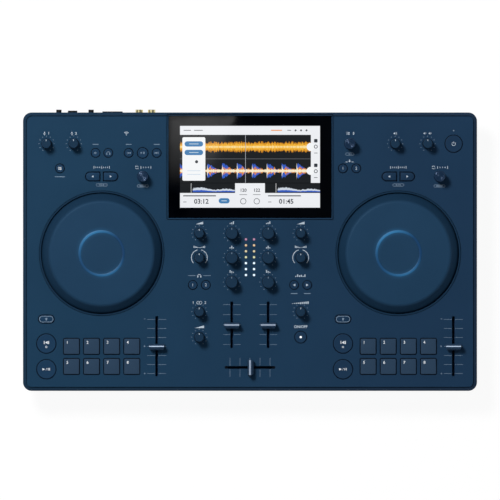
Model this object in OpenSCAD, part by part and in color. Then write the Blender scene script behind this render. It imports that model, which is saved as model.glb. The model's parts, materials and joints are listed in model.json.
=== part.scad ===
// Portable two-deck DJ system: a flat case with two jog wheels, a mixer between them,
// a glass touch screen at the back of the panel and sockets on the rear.
// Millimetres. +Z is up, +Y points to the rear, the origin is on the table under the case's middle.

/* [Case] */
// Width of the upper case
case_w = 499; // [494:1:530]
// Depth of the upper case
case_d = 306; // [304:1:326]
// Corner radius of the upper case seen from above
case_r = 9.5; // [7:0.5:14]
// Height of the upper case with its rim
upper_h = 13; // [12:0.5:18]
// Height of the lower tray
tray_h = 33; // [32:1:42]
// How far the tray is set in under the upper case
tray_inset = 6; // [4:0.5:8]
// Corner radius of the tray
tray_r = 12; // [10:0.5:20]
// Bevel round the bottom edge of the tray
tray_bevel = 4; // [2:0.5:5]
// Wall thickness of the two case mouldings
wall = 3; // [2.5:0.25:3.5]
// Width of the bevelled rim round the top panel
rim_w = 3.5; // [3:0.25:5]
// Drop of the bevelled rim
rim_drop = 2.2; // [1:0.2:3.6]
// Width of the ledge that carries the top panel
ledge_w = 6; // [4:0.5:7]
// Width of the upper case's bottom flange that lies on the tray
flange_w = 8; // [7:0.5:9]
// Height of the rubber feet
foot_h = 4; // [3:0.5:8]
// Radius of the rubber feet
foot_r = 9; // [6:0.5:12]
// Shank radius of the case screws
screw_r = 1.5; // [1.2:0.1:1.8]

/* [Top panel] */
// Thickness of the top panel
panel_t = 2; // [1.75:0.25:2.5]
// Groove between the top panel and the rim
panel_gap = 0.8; // [0.4:0.1:1.2]
// Room between the main board and the top panel
control_room = 11.5; // [11:0.25:13]
// Thickness of the main board
board_t = 1.6; // [1.2:0.2:2]

/* [Screen] */
// Width of the screen's cover glass
screen_w = 179; // [170:1:186]
// Depth of the screen's cover glass
screen_d = 112; // [104:1:118]
// Thickness of the cover glass
glass_t = 1.2; // [0.8:0.1:1.4]
// Width of the display module under the glass
display_w = 160; // [150:1:166]
// Depth of the display module under the glass
display_d = 98; // [90:1:100]
// Thickness of the display module
display_t = 5; // [3:0.5:7]
// Width of the raised lip that frames the glass
lip_w = 1.2; // [0.8:0.1:2]
// Width of the groove round that lip
lip_groove = 0.8; // [0.5:0.1:1.2]

/* [Jog wheels] */
// Space between a jog well and the side of the case
deck_margin = 17.5; // [15:0.5:24]
// Distance of the jog wheels in front of the case's middle
jog_forward = 1.8; // [0:0.2:4]
// Radius of the jog wheel at its foot
jog_r = 66.5; // [60:0.5:70]
// Radius of the jog wheel's flat top
jog_top_r = 56.5; // [50:0.5:58]
// Height of the jog wheel above the panel
jog_rise = 10; // [7:0.5:12]
// Gap between the jog wheel and its well
jog_gap = 2.5; // [1.5:0.25:3.5]
// Mean radius of the light ring
ring_r = 25; // [20:0.5:40]
// Width of the light ring
ring_w = 2.2; // [1.5:0.1:4]
// Radius of the spindle that the jog wheel turns on
spindle_r = 8; // [6:0.5:12]

/* [Knobs] */
// Foot radius of the small knobs
knob_r = 6; // [5:0.25:7]
// Top radius of the small knobs
knob_top_r = 5; // [4:0.25:5.5]
// Foot radius of the tone knobs
tone_knob_r = 7; // [6:0.25:8]
// Top radius of the tone knobs
tone_knob_top_r = 6.3; // [5.5:0.1:6.5]
// Height of the knobs
knob_h = 14.5; // [10:0.5:18]
// Radius of the turning selectors
selector_r = 6.3; // [5:0.1:7]
// Radius of the knob shafts
shaft_r = 2.5; // [2:0.1:3]
// Radius of the small trim knobs on the rear
rear_knob_r = 2.95; // [2.5:0.05:3.5]

/* [Keys] */
// Radius of the small round keys
small_key_r = 4.9; // [4:0.1:5.5]
// Radius of the middle key of the wireless group
wireless_key_r = 5.9; // [5:0.1:6]
// Radius of the effect key
effect_key_r = 6.6; // [5:0.1:8]
// Radius of the cue and play keys
transport_key_r = 10.7; // [8:0.1:11.5]
// Radius of the power key
power_key_r = 9.6; // [7:0.1:10.5]
// Length of the shift keys
shift_w = 17.5; // [14:0.5:20]
// Width of the shift keys
shift_d = 9; // [7:0.5:10]
// Length of a jump key
jump_w = 16.2; // [14:0.1:18]
// Width of a jump key
jump_d = 10; // [8:0.5:11]
// Space between the two jump keys
jump_space = 3.5; // [3:0.1:5]
// Side of a performance pad
pad_side = 16.8; // [14:0.1:18]
// Spacing of the performance pads
pad_pitch = 22.1; // [21:0.1:23]
// Height of the keys above the panel
key_rise = 1; // [0.9:0.1:2]
// Height of the pads above the panel
pad_rise = 1.6; // [1.2:0.1:2.4]
// Gap round a key in the panel
key_gap = 0.5; // [0.4:0.05:0.7]
// Travel of the keys and pads
key_travel = 0.8; // [0.4:0.1:0.9]

/* [Faders] */
// Width of a fader cap across its slot
cap_w = 17; // [14:0.5:20]
// Height of a fader cap
cap_h = 10.5; // [8:0.5:14]
// Width of the fader slots
slot_w = 3; // [2.4:0.1:4]
// Travel of the tempo faders to each side of the middle
tempo_travel = 30; // [25:0.5:31]
// Travel of the channel faders and the crossfader to each side of the middle
mix_travel = 22.5; // [18:0.5:24]

/* [Rear sockets] */
// Bore radius of the large plug sockets
plug_r = 3.2; // [3.18:0.01:3.3]
// Bore radius of the small headphone socket
mini_plug_r = 1.8; // [1.76:0.01:1.9]
// Radius of the collar of a large socket
socket_nose_r = 5.25; // [4.5:0.05:6]
// Outside radius of the line output shells
line_shell_r = 4.15; // [4.1:0.01:4.2]
// Width of the microphone combination socket's collar
combo_side = 22; // [20.5:0.5:26]
// How far the line output shells stand out past the upper case
line_out = 3.5; // [1:0.1:6]

/* [Hidden] */
$fn = 64;

// Colours as seen on the object
navy = [0.12, 0.22, 0.32];
navy_dark = [0.06, 0.12, 0.18];
pad_grey = [0.18, 0.25, 0.32];
glass_black = [0.01, 0.012, 0.02];
light_blue = [0.25, 0.55, 0.85];
gold = [0.8, 0.7, 0.4];
metal = [0.7, 0.72, 0.74];
board_green = [0.08, 0.3, 0.18];
rubber_black = [0.05, 0.05, 0.055];

// Clearances: round a turning shaft, between a moving and a fixed piece, and between two fixed pieces
shaft_gap = 0.25;
run_gap = 0.3;
seat_gap = 0.15;
press_gap = 0.05;
cut = 1;

// Levels from the table up
tray_z = foot_h;
floor_z = tray_z + wall;
upper_z = tray_z + tray_h;
top_z = upper_z + upper_h;
panel_z = top_z - panel_t;
board_top_z = panel_z - control_room;
board_z = board_top_z - board_t;
ledge_t = 3;

// Outlines of the stacked layers
tray_w = case_w - 2 * tray_inset;
tray_d = case_d - 2 * tray_inset;
pocket_w = case_w - 2 * rim_w;
pocket_d = case_d - 2 * rim_w;
pocket_r = case_r - rim_w;
panel_w = pocket_w - 2 * panel_gap;
panel_d = pocket_d - 2 * panel_gap;
flange_in = tray_inset + flange_w;
board_side_margin = 12;
board_end_margin = 8;
board_w = tray_w - 2 * (wall + board_side_margin);
board_d = tray_d - 2 * (wall + board_end_margin);
board_r = 4;

// Decks: each deck is the same layout moved sideways
well_r = jog_r + jog_gap;
deck_x = case_w / 2 - deck_margin - well_r;
jog_y = -jog_forward;
front_y = -case_d / 2;
transport_dx = -60.8;
tempo_dx = 60.5;
loop_dx = 45.2;
list_dx = -45.9;
jump_off_well = 15.4;
list_off_jump = 8.9;
shift_off_front = 78.9;
cue_off_front = 52;
play_off_front = 23.8;
tempo_off_front = 49.1;
pads_off_front = 37.9;
jump_y = jog_y + well_r + jump_off_well;
list_y = jump_y + list_off_jump;
shift_y = front_y + shift_off_front;
cue_y = front_y + cue_off_front;
play_y = front_y + play_off_front;
tempo_y = front_y + tempo_off_front;
pads_y = front_y + pads_off_front;
pad_columns = 4;
pad_rows = 2;

// Screen
screen_gap = 0.25;
screen_y = pocket_d / 2 - run_gap - screen_d / 2;
screen_front_y = screen_y - screen_d / 2;
frame_w = screen_gap + lip_w;

// Top row, placed from the case's sides and the screen
left_x = -case_w / 2;
right_x = case_w / 2;
rear_edge_y = case_d / 2;
top_row_off_rear = 34.4;
power_off_side = 25.7;
master_off_power = 28.7;
booth_off_master = 35.6;
mic_off_side = 25.9;
mic_pitch = 30;
browse_off_screen = 20.2;
source_off_rear = 44.5;
load_off_screen = 12.6;
wireless_off_screen = 13;
source_off_wireless = 22.4;
top_row_y = rear_edge_y - top_row_off_rear;
power_at = [right_x - power_off_side, top_row_y];
master_at = [power_at[0] - master_off_power, top_row_y];
booth_at = [master_at[0] - booth_off_master, top_row_y];
mic_1_at = [left_x + mic_off_side, top_row_y];
mic_2_at = [mic_1_at[0] + mic_pitch, top_row_y];
browse_at = [screen_w / 2 + browse_off_screen, top_row_y];
source_y = rear_edge_y - source_off_rear;
load_pitch = 14.7;
load_at = [screen_w / 2 + load_off_screen, list_y];
wireless_pitch = 15.4;
wireless_x = -screen_w / 2 - wireless_off_screen;
source_pitch = 14;
source_x = wireless_x - 2 * wireless_pitch - source_off_wireless;

// Mixer, placed from the screen's front edge
tone_x = 20;
trim_x = 55.7;
tone_pitch = 26.8;
high_off_screen = 17;
pair_off_low = 3.2;
mix_off_middle = 59.3;
level_off_mix = 28;
channel_off_middle = 73.8;
cross_off_front = 25.8;
high_y = screen_front_y - high_off_screen;
middle_y = high_y - tone_pitch;
low_y = middle_y - tone_pitch;
pair_y = low_y - pair_off_low;
pair_pitch = 14.4;
mix_y = middle_y - mix_off_middle;
level_y = mix_y - level_off_mix;
channel_y = middle_y - channel_off_middle;
cross_y = front_y + cross_off_front;
meter_off_high = 6.7;
meter_x = 4.45;
meter_y = high_y - meter_off_high;
meter_pitch = 6.53;
meter_rows = 7;
meter_r = 1.4;
meter_hole_gap = 0.1;
power_light_r = 0.8;
power_light_off_key = 14.4;
power_light_at = [power_at[0], power_at[1] + power_light_off_key];

// Parts under the panel
key_flange = 1.2;
key_flange_t = 1.2;
key_top_z = panel_z - run_gap;
key_foot_z = key_top_z - key_flange_t;
key_chamfer = 0.4;
switch_side = 6;
switch_h = 3;
switch_pin_r = 1.6;
pot_side = 11;
pot_h = 5;
bushing_r = 4.2;
bushing_top_gap = 0.5;
shaft_foot = 1.5;
knob_lift = 0.8;
knob_cap_t = 2.5;
knob_chamfer = 0.5;
pointer_w = 0.9;
pointer_l = 2.6;
pointer_deep = 0.5;
slide_pot_w = 8;
slide_pot_h = 7;
slide_wall = 2;
lever_t = 1.2;
lever_l = 4;
lever_foot = 2;
cap_lift = 0.8;
dish_t = 2;
dish_depth = 6;
dish_wall = 3.2;
jog_shell = 2.5;
hub_wall = 4;
ring_deep = 1.2;

// Rear socket panel and what it carries
socket_margin = 1.5;
window_low_z = floor_z + tray_bevel + socket_margin;
window_high_z = upper_z - run_gap - socket_margin;
window_h = window_high_z - window_low_z;
window_end = 19.5;
window_w = tray_w - 2 * window_end;
rear_t = 2;
rear_y = tray_d / 2 - wall;
socket_z = (window_low_z + window_high_z) / 2;
socket_l = 30;
socket_body = 14;
socket_end = 3;
rear_trim_off_side = 38.8;
rear_trim_pitch = 35.5;
mic_off_trim = 15.1;
combo_off_side = 98;
line_off_side = 127.4;
line_pitch = 13.7;
booth_off_side = 177.5;
booth_pitch = 24;
usb_c_off_side = 99.5;
usb_pitch = 30;
phones_off_side = 49.5;
phones_pitch = 22;
rear_trim_xs = [for (i = [0, 1]) left_x + rear_trim_off_side + i * rear_trim_pitch];
mic_socket_x = rear_trim_xs[0] + mic_off_trim;
combo_x = left_x + combo_off_side;
line_xs = [for (i = [0, 1]) left_x + line_off_side + i * line_pitch];
booth_xs = [for (i = [0, 1]) left_x + booth_off_side + i * booth_pitch];
usb_c_x = right_x - usb_c_off_side;
usb_a_x = usb_c_x - usb_pitch;
phones_x = left_x + phones_off_side;
mini_phones_x = phones_x + phones_pitch;
mic_out = 2.4;
combo_out = 1.4;
collar_out = 1;
mini_nose_r = 3.6;

// A flat outline with round corners
module rounded_outline(w, d, r) {
    square([w - 2 * r, d], center = true);
    square([w, d - 2 * r], center = true);
    for (sx = [-1, 1], sy = [-1, 1])
        translate([sx * (w / 2 - r), sy * (d / 2 - r)]) circle(r);
}

// A plate with round corners whose side follows the edge profile, given as [inset, height] from the bottom up
module edge_slab(w, d, r, edge) {
    low = edge[0][1];
    high = edge[len(edge) - 1][1];
    down = [for (i = [len(edge) - 1:-1:0]) edge[i]];
    rotate([90, 0, 90])
        linear_extrude(w - 2 * r, center = true)
            polygon(concat([for (e = edge) [d / 2 - e[0], e[1]]], [for (e = down) [e[0] - d / 2, e[1]]]));
    for (side = [0, 180])
        rotate(side)
            rotate([90, 0, 0])
                linear_extrude(d - 2 * r, center = true)
                    polygon(concat([[w / 2 - r, low]], [for (e = edge) [w / 2 - e[0], e[1]]], [[w / 2 - r, high]]));
    for (quarter = [0:3])
        translate([(quarter == 0 || quarter == 3 ? 1 : -1) * (w / 2 - r), (quarter < 2 ? 1 : -1) * (d / 2 - r), 0])
            rotate(90 * quarter)
                rotate_extrude(angle = 90)
                    polygon(concat([[0, low]], [for (e = edge) [r - e[0], e[1]]], [[0, high]]));
}

// A straight-sided plate between two heights
module plate(w, d, r, low, high) edge_slab(w, d, r, [[0, low], [0, high]]);

// Case fastening points
screw_edge = 7;
function screw_points() = concat(
    [for (sx = [-1, 1], sy = [-1, 1]) [sx * (tray_w / 2 - screw_edge), sy * (tray_d / 2 - screw_edge)]],
    [for (ix = [-1:1]) [ix * tray_w / 4, screw_edge - tray_d / 2]]
);
screw_boss_r = 4.2;
screw_well_r = 3.4;
screw_head_r = 3;
screw_head_h = 2;
screw_grip = 8;
screw_seat_z = upper_z - screw_grip;
screw_bite = wall + 2;

// Points where the main board is screwed to the tray's posts
post_in_side = 26;
post_in_end = 30;
function board_points() = [
    for (sx = [-1, 0, 1], sy = [-1, 1]) [sx * (board_w / 2 - post_in_side), sy * (board_d / 2 - post_in_end)]
];
post_r = 3.5;
board_screw_r = 1.2;
board_screw_l = 6;
board_screw_head_r = 2.4;
board_screw_head_h = 1.6;

// Feet
foot_edge = 30;
foot_sink = 1;
function foot_points() = [
    for (sx = [-1, 1], sy = [-1, 1]) [sx * (tray_w / 2 - foot_edge), sy * (tray_d / 2 - foot_edge)]
];

module bottom_case() color(navy) difference() {
    union() {
        difference() {
            edge_slab(tray_w, tray_d, tray_r, [[tray_bevel, tray_z], [0, tray_z + tray_bevel], [0, upper_z]]);
            edge_slab(tray_w - 2 * wall, tray_d - 2 * wall, tray_r - wall,
                [[tray_bevel, floor_z], [0, floor_z + tray_bevel], [0, upper_z + cut]]);
        }
        for (p = screw_points())
            translate([p[0], p[1], floor_z - wall / 2]) cylinder(r = screw_boss_r, h = upper_z - floor_z + wall / 2);
        for (p = board_points())
            translate([p[0], p[1], floor_z - wall / 2]) cylinder(r = post_r, h = board_z - floor_z + wall / 2);
    }
    for (p = screw_points()) translate([p[0], p[1], 0]) {
        cylinder(r = screw_well_r, h = screw_seat_z);
        cylinder(r = screw_r + seat_gap, h = upper_z + cut);
    }
    for (p = board_points())
        translate([p[0], p[1], board_top_z - board_screw_l - cut])
            cylinder(r = board_screw_r + press_gap, h = board_screw_l);
    for (p = foot_points()) translate([p[0], p[1], 0]) cylinder(r = foot_r + seat_gap, h = tray_z + foot_sink);
    translate([-window_w / 2, rear_y - cut, window_low_z])
        cube([window_w, wall + 2 * cut, window_h]);
    front_hole(phones_x, socket_nose_r);
    front_hole(mini_phones_x, mini_nose_r);
}

// A hole for a headphone socket in the tray's front wall
module front_hole(x, r)
    translate([x, wall + cut - tray_d / 2, socket_z])
        rotate([90, 0, 0]) cylinder(r = r + seat_gap, h = wall + 2 * cut);

module top_case() color(navy) difference() {
    union() {
        difference() {
            edge_slab(case_w, case_d, case_r, [[0, upper_z], [0, top_z - rim_drop], [rim_w, top_z]]);
            plate(case_w - 2 * wall, case_d - 2 * wall, case_r - wall, upper_z + wall, panel_z - ledge_t);
            plate(case_w - 2 * flange_in, case_d - 2 * flange_in, tray_r - wall, upper_z - cut, upper_z + wall + cut);
            plate(pocket_w, pocket_d, pocket_r, panel_z, top_z + cut);
            plate(pocket_w - 2 * ledge_w, pocket_d - 2 * ledge_w, pocket_r, panel_z - ledge_t - cut, panel_z + cut);
        }
        for (p = screw_points())
            translate([p[0], p[1], upper_z]) cylinder(r = screw_boss_r, h = screw_bite + wall / 2);
    }
    for (p = screw_points())
        translate([p[0], p[1], upper_z - cut]) cylinder(r = screw_r + press_gap, h = screw_bite + cut);
}

// Where the round keys of each group stand, with their radii
left_function_spots = [
    [source_x - source_pitch, source_y, small_key_r],
    [source_x, source_y, small_key_r],
    [wireless_x - 2 * wireless_pitch, source_y, small_key_r],
    [wireless_x - wireless_pitch, source_y, wireless_key_r],
    [wireless_x, source_y, small_key_r],
    [list_dx - deck_x, list_y, small_key_r]
];
mixer_spots = concat(
    [for (i = [0, 1]) [load_at[0] + i * load_pitch, load_at[1], small_key_r]],
    [for (side = [-1, 1], i = [-1, 1]) [side * trim_x + i * pair_pitch / 2, pair_y, small_key_r]]
);
power_spot = [power_at[0], power_at[1], power_key_r];
effect_spot = [trim_x, level_y, effect_key_r];
function cue_spot(side) = [side * deck_x + transport_dx, cue_y, transport_key_r];
function play_spot(side) = [side * deck_x + transport_dx, play_y, transport_key_r];
function shift_at(side) = [side * deck_x + transport_dx, shift_y];
function jump_at(side, end) = [side * deck_x + end * (jump_w + jump_space) / 2, jump_y];
function pad_spots(side) = [
    for (ix = [0:pad_columns - 1], iy = [0:pad_rows - 1])
        [side * deck_x + (ix - (pad_columns - 1) / 2) * pad_pitch, pads_y + (iy - (pad_rows - 1) / 2) * pad_pitch]
];
round_spots = concat(left_function_spots, mixer_spots, [power_spot, effect_spot],
    [for (side = [-1, 1]) cue_spot(side)], [for (side = [-1, 1]) play_spot(side)]);

// Where the knobs stand
pot_points = concat(
    [mic_1_at, mic_2_at, booth_at, master_at],
    [for (side = [-1, 1], y = [high_y, middle_y]) [side * trim_x, y]],
    [for (side = [-1, 1], y = [high_y, middle_y, low_y]) [side * tone_x, y]],
    [[-trim_x, mix_y], [-trim_x, level_y], [trim_x, mix_y]]
);
function loop_at(side) = [side * deck_x + loop_dx, jump_y];
selector_points = [browse_at, loop_at(-1), loop_at(1)];

// Where the faders stand: place, turn and travel
function tempo_place(side) = [[side * deck_x + tempo_dx, tempo_y], 0, tempo_travel];
function channel_place(side) = [[side * tone_x, channel_y], 0, mix_travel];
cross_place = [[0, cross_y], 90, mix_travel];
fader_places = [tempo_place(-1), tempo_place(1), channel_place(-1), channel_place(1), cross_place];

// A jump key's outline: square towards its partner, round at its outer end
module jump_outline(end, grow) {
    r = jump_d / 2 + grow;
    translate([end * (jump_w - jump_d) / 2, 0]) circle(r);
    translate([-end * r / 2, 0]) square([jump_w - jump_d / 2 + grow, 2 * r], center = true);
}

// A key outline with two round ends
module pill_outline(w, d) {
    square([w - d, d], center = true);
    for (end = [-1, 1]) translate([end * (w - d) / 2, 0]) circle(d / 2);
}

pad_r = 1.2;
module panel_holes() {
    for (side = [-1, 1]) {
        translate([side * deck_x, jog_y]) circle(well_r);
        translate(shift_at(side)) pill_outline(shift_w + 2 * key_gap, shift_d + 2 * key_gap);
        for (end = [-1, 1]) translate(jump_at(side, end)) jump_outline(end, key_gap);
        for (p = pad_spots(side))
            translate(p) rounded_outline(pad_side + 2 * key_gap, pad_side + 2 * key_gap, pad_r + key_gap);
        for (row = [0:meter_rows - 1])
            translate([side * meter_x, meter_y - row * meter_pitch]) circle(meter_r + meter_hole_gap);
    }
    for (s = round_spots) translate([s[0], s[1]]) circle(s[2] + key_gap);
    for (p = concat(pot_points, selector_points)) translate(p) circle(shaft_r + cut);
    for (f = fader_places)
        translate(f[0]) rotate(f[1]) square([slot_w, 2 * f[2] + lever_l + 2 * cut], center = true);
    translate(power_light_at) circle(power_light_r + meter_hole_gap);
    translate([0, screen_y]) square([display_w + 2 * screen_gap, display_d + 2 * screen_gap], center = true);
}

module top_panel() color(navy) difference() {
    translate([0, 0, panel_z]) linear_extrude(panel_t) difference() {
        rounded_outline(panel_w, panel_d, pocket_r - panel_gap);
        panel_holes();
    }
    translate([-screen_w / 2 - screen_gap, screen_front_y - screen_gap, top_z - glass_t])
        cube([screen_w + 2 * screen_gap, screen_d + 2 * cut, glass_t + cut]);
    for (side = [-1, 1])
        translate([side * (screen_w / 2 + frame_w + lip_groove / 2) - lip_groove / 2, screen_front_y - frame_w, 0])
            translate([0, -lip_groove, top_z - lip_groove]) cube([lip_groove, screen_d + frame_w + lip_groove + cut, cut]);
    translate([-screen_w / 2 - frame_w, screen_front_y - frame_w - lip_groove, top_z - lip_groove])
        cube([screen_w + 2 * frame_w, lip_groove, cut]);
}

module touch_screen() color(glass_black) {
    translate([-screen_w / 2, screen_front_y, top_z - glass_t]) cube([screen_w, screen_d, glass_t]);
    translate([-display_w / 2, screen_y - display_d / 2, top_z - glass_t - display_t])
        cube([display_w, display_d, display_t]);
}

module main_board() color(board_green) difference() {
    union() {
        translate([0, 0, board_z]) linear_extrude(board_t) rounded_outline(board_w, board_d, board_r);
        translate([0, screen_y / 2, board_z - shield_t / 2]) cube([shield_side, shield_side, shield_t], center = true);
        for (side = [-1, 1])
            translate([side * deck_x, jog_y, board_z - shield_t / 2])
                cube([shield_side, shield_side / 2, shield_t], center = true);
    }
    for (p = board_points())
        translate([p[0], p[1], board_z - cut]) cylinder(r = board_screw_r + seat_gap, h = board_t + 2 * cut);
}
shield_side = 40;
shield_t = 3;

// A turning control on the board: square body with a round bushing that holds the shaft
module rotary_pot() difference() {
    union() {
        translate([-pot_side / 2, -pot_side / 2, board_top_z]) cube([pot_side, pot_side, pot_h]);
        translate([0, 0, board_top_z]) cylinder(r = bushing_r, h = control_room - bushing_top_gap);
    }
    translate([0, 0, board_top_z + shaft_foot]) cylinder(r = shaft_r + shaft_gap, h = control_room);
}

// A sliding control on the board: long body with a channel for the lever
module slide_pot(travel) {
    channel_l = 2 * travel + lever_l + 2 * run_gap;
    difference() {
        translate([-slide_pot_w / 2, -channel_l / 2 - slide_wall, board_top_z])
            cube([slide_pot_w, channel_l + 2 * slide_wall, slide_pot_h]);
        translate([-lever_t / 2 - run_gap, -channel_l / 2, board_top_z + lever_foot - run_gap])
            cube([lever_t + 2 * run_gap, channel_l, slide_pot_h]);
    }
}

// A press switch on the board, whose pin ends just under the pressed key
module press_switch() {
    pin_h = key_foot_z - key_travel - run_gap - board_top_z;
    translate([-switch_side / 2, -switch_side / 2, board_top_z]) cube([switch_side, switch_side, switch_h]);
    translate([0, 0, board_top_z]) cylinder(r = switch_pin_r, h = pin_h);
}

// The pot behind a small trim knob on the rear
rear_pot_side = 9.5;
rear_pot_depth = 7;
rear_shaft_r = 1.5;
module rear_pot(x)
    translate([x, rear_y - rear_t, socket_z]) rotate([90, 0, 0]) difference() {
        translate([-rear_pot_side / 2, -rear_pot_side / 2, 0]) cube([rear_pot_side, rear_pot_side, rear_pot_depth]);
        translate([0, 0, -cut]) cylinder(r = rear_shaft_r + shaft_gap, h = rear_pot_depth - shaft_foot + cut);
    }

module board_controls() color(metal) {
    for (p = concat(pot_points, selector_points)) translate(p) rotary_pot();
    for (f = fader_places) translate(f[0]) rotate(f[1]) slide_pot(f[2]);
    for (s = round_spots) translate([s[0], s[1]]) press_switch();
    for (side = [-1, 1]) {
        translate(shift_at(side)) press_switch();
        for (end = [-1, 1]) translate(jump_at(side, end)) press_switch();
        for (p = pad_spots(side)) translate(p) press_switch();
    }
    for (x = rear_trim_xs) rear_pot(x);
}

// Rechargeable cells lying in a cradle on the tray's floor
cell_r = 9.2;
cell_l = 65;
cell_count = 6;
cell_pitch = 19.2;
cradle_t = 3;
cradle_y = -30;
module battery_pack() {
    cradle_w = cell_count * cell_pitch + 2 * cradle_t;
    color(rubber_black) difference() {
        translate([-cradle_w / 2, cradle_y - cell_l / 2, floor_z]) cube([cradle_w, cell_l, cradle_t + cell_r * 0.6]);
        for (i = [0:cell_count - 1]) cell_place(i) cylinder(r = cell_r + seat_gap, h = cell_l + 2 * cut, center = true);
    }
    color(light_blue) for (i = [0:cell_count - 1]) cell_place(i) cylinder(r = cell_r, h = cell_l, center = true);
}
module cell_place(i)
    translate([(i - (cell_count - 1) / 2) * cell_pitch, cradle_y, floor_z + cradle_t / 2 + cell_r])
        rotate([90, 0, 0]) children();

foot_bevel = 1;
module rubber_feet() color(rubber_black) for (p = foot_points()) translate([p[0], p[1], 0])
    rotate_extrude() polygon([[0, 0], [foot_r - foot_bevel, 0], [foot_r, foot_bevel],
        [foot_r, tray_z + foot_sink], [0, tray_z + foot_sink]]);

// A cross-head screw standing head down at the origin
cross_l = 3.4;
cross_w = 0.8;
module screw(r, head_r, head_h, shank) difference() {
    union() {
        translate([0, 0, -head_h]) cylinder(r = head_r, h = head_h);
        translate([0, 0, -head_h / 2]) cylinder(r = r, h = shank + head_h / 2);
    }
    for (turn = [0, 90])
        rotate(turn) translate([-cross_l / 2, -cross_w / 2, -head_h - cut]) cube([cross_l, cross_w, head_h / 2 + cut]);
}

module case_screws() color(metal) {
    for (p = screw_points())
        translate([p[0], p[1], screw_seat_z]) screw(screw_r, screw_head_r, screw_head_h, screw_grip + screw_bite - cut);
    for (p = board_points())
        translate([p[0], p[1], board_top_z])
            rotate([180, 0, 0]) screw(board_screw_r, board_screw_head_r, board_screw_head_h, board_screw_l);
}

// Rear panel: a plate behind the tray's rear window with a hole for each socket
usb_a_w = 13.2;
usb_a_h = 5.8;
usb_c_w = 9;
usb_c_h = 3.3;
module rear_panel() color(navy_dark) difference() {
    translate([-window_w / 2 - socket_margin, rear_y - rear_t, window_low_z - socket_margin])
        cube([window_w + 2 * socket_margin, rear_t, window_h + 2 * socket_margin]);
    for (x = concat([mic_socket_x], booth_xs)) rear_hole(x, socket_nose_r + seat_gap);
    for (x = line_xs) rear_hole(x, line_shell_r + seat_gap);
    for (x = rear_trim_xs) rear_hole(x, rear_shaft_r + cut / 2);
    rear_hole(combo_x, combo_barrel_r + seat_gap);
    translate([usb_a_x, rear_y, socket_z])
        cube([usb_a_w + 2 * seat_gap, 2 * rear_t + 2 * cut, usb_a_h + 2 * seat_gap], center = true);
    translate([usb_c_x, rear_y, socket_z])
        cube([usb_c_w + 2 * seat_gap, 2 * rear_t + 2 * cut, usb_c_h + 2 * seat_gap], center = true);
}
module rear_hole(x, r)
    translate([x, rear_y + cut, socket_z]) rotate([90, 0, 0]) cylinder(r = r, h = rear_t + 2 * cut);

// A plug socket facing +Z: its collar stands out of a wall whose face is at height 0, its body is behind that wall
module plug_socket(nose_r, bore_r, bore_l, body, out, wall_t) difference() {
    depth = bore_l - out - wall_t + socket_end;
    union() {
        translate([0, 0, -wall_t - cut]) cylinder(r = nose_r, h = wall_t + cut + out);
        translate([-body / 2, -body / 2, -wall_t - depth]) cube([body, body, depth]);
    }
    translate([0, 0, out - bore_l]) cylinder(r = bore_r, h = bore_l + cut);
}
module large_socket(out, wall_t) plug_socket(socket_nose_r, plug_r, socket_l, socket_body, out, wall_t);

module facing_rear(x) translate([x, rear_y, socket_z]) rotate([-90, 0, 0]) children();
module facing_front(x) translate([x, -tray_d / 2, socket_z]) rotate([90, 0, 0]) children();

// Microphone combination socket: square collar, shell groove, three contact holes and a plug bore
combo_barrel_r = 9.8;
combo_groove_in = 7.6;
combo_groove_out = 8.8;
combo_groove_deep = 9;
combo_pin_circle = 5.6;
combo_pin_r = 1.2;
combo_depth = 26;
combo_h = window_h - 2 * run_gap;
combo_reach = tray_inset + wall + combo_out;
module combo_socket() difference() {
    union() {
        translate([-combo_side / 2, -combo_h / 2, 0]) cube([combo_side, combo_h, combo_reach]);
        translate([0, 0, -combo_depth]) cylinder(r = combo_barrel_r, h = combo_depth + cut);
    }
    translate([0, 0, combo_reach - combo_groove_deep]) difference() {
        cylinder(r = combo_groove_out, h = combo_groove_deep + cut);
        cylinder(r = combo_groove_in, h = combo_groove_deep + cut);
    }
    for (turn = [90, 210, 330])
        rotate(turn) translate([combo_pin_circle, 0, 0]) cylinder(r = combo_pin_r, h = combo_depth);
    translate([0, 0, combo_reach - socket_l]) cylinder(r = plug_r, h = socket_l + cut);
}

mini_body = 9;
mini_l = 15;
module audio_jacks() color(rubber_black) {
    facing_rear(mic_socket_x) large_socket(tray_inset + wall + mic_out, rear_t);
    facing_rear(combo_x) combo_socket();
    for (x = booth_xs) facing_rear(x) large_socket(wall + collar_out, rear_t);
    facing_front(phones_x) large_socket(collar_out, wall);
    facing_front(mini_phones_x) plug_socket(mini_nose_r, mini_plug_r, mini_l, mini_body, collar_out, wall);
}

// Line outputs: plated shells with a collar against the rear panel and a contact hole
line_collar_r = 5.6;
line_collar_t = 2;
line_contact_r = 1.7;
line_contact_deep = 9;
module line_jacks() color(gold) for (x = line_xs) facing_rear(x) difference() {
    union() {
        cylinder(r = line_collar_r, h = line_collar_t);
        translate([0, 0, -rear_t - line_body]) cylinder(r = line_shell_r, h = line_reach + rear_t + line_body);
    }
    translate([0, 0, line_reach - line_contact_deep]) cylinder(r = line_contact_r, h = line_contact_deep + cut);
}
line_body = 8;
line_reach = wall + tray_inset + line_out;

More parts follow.
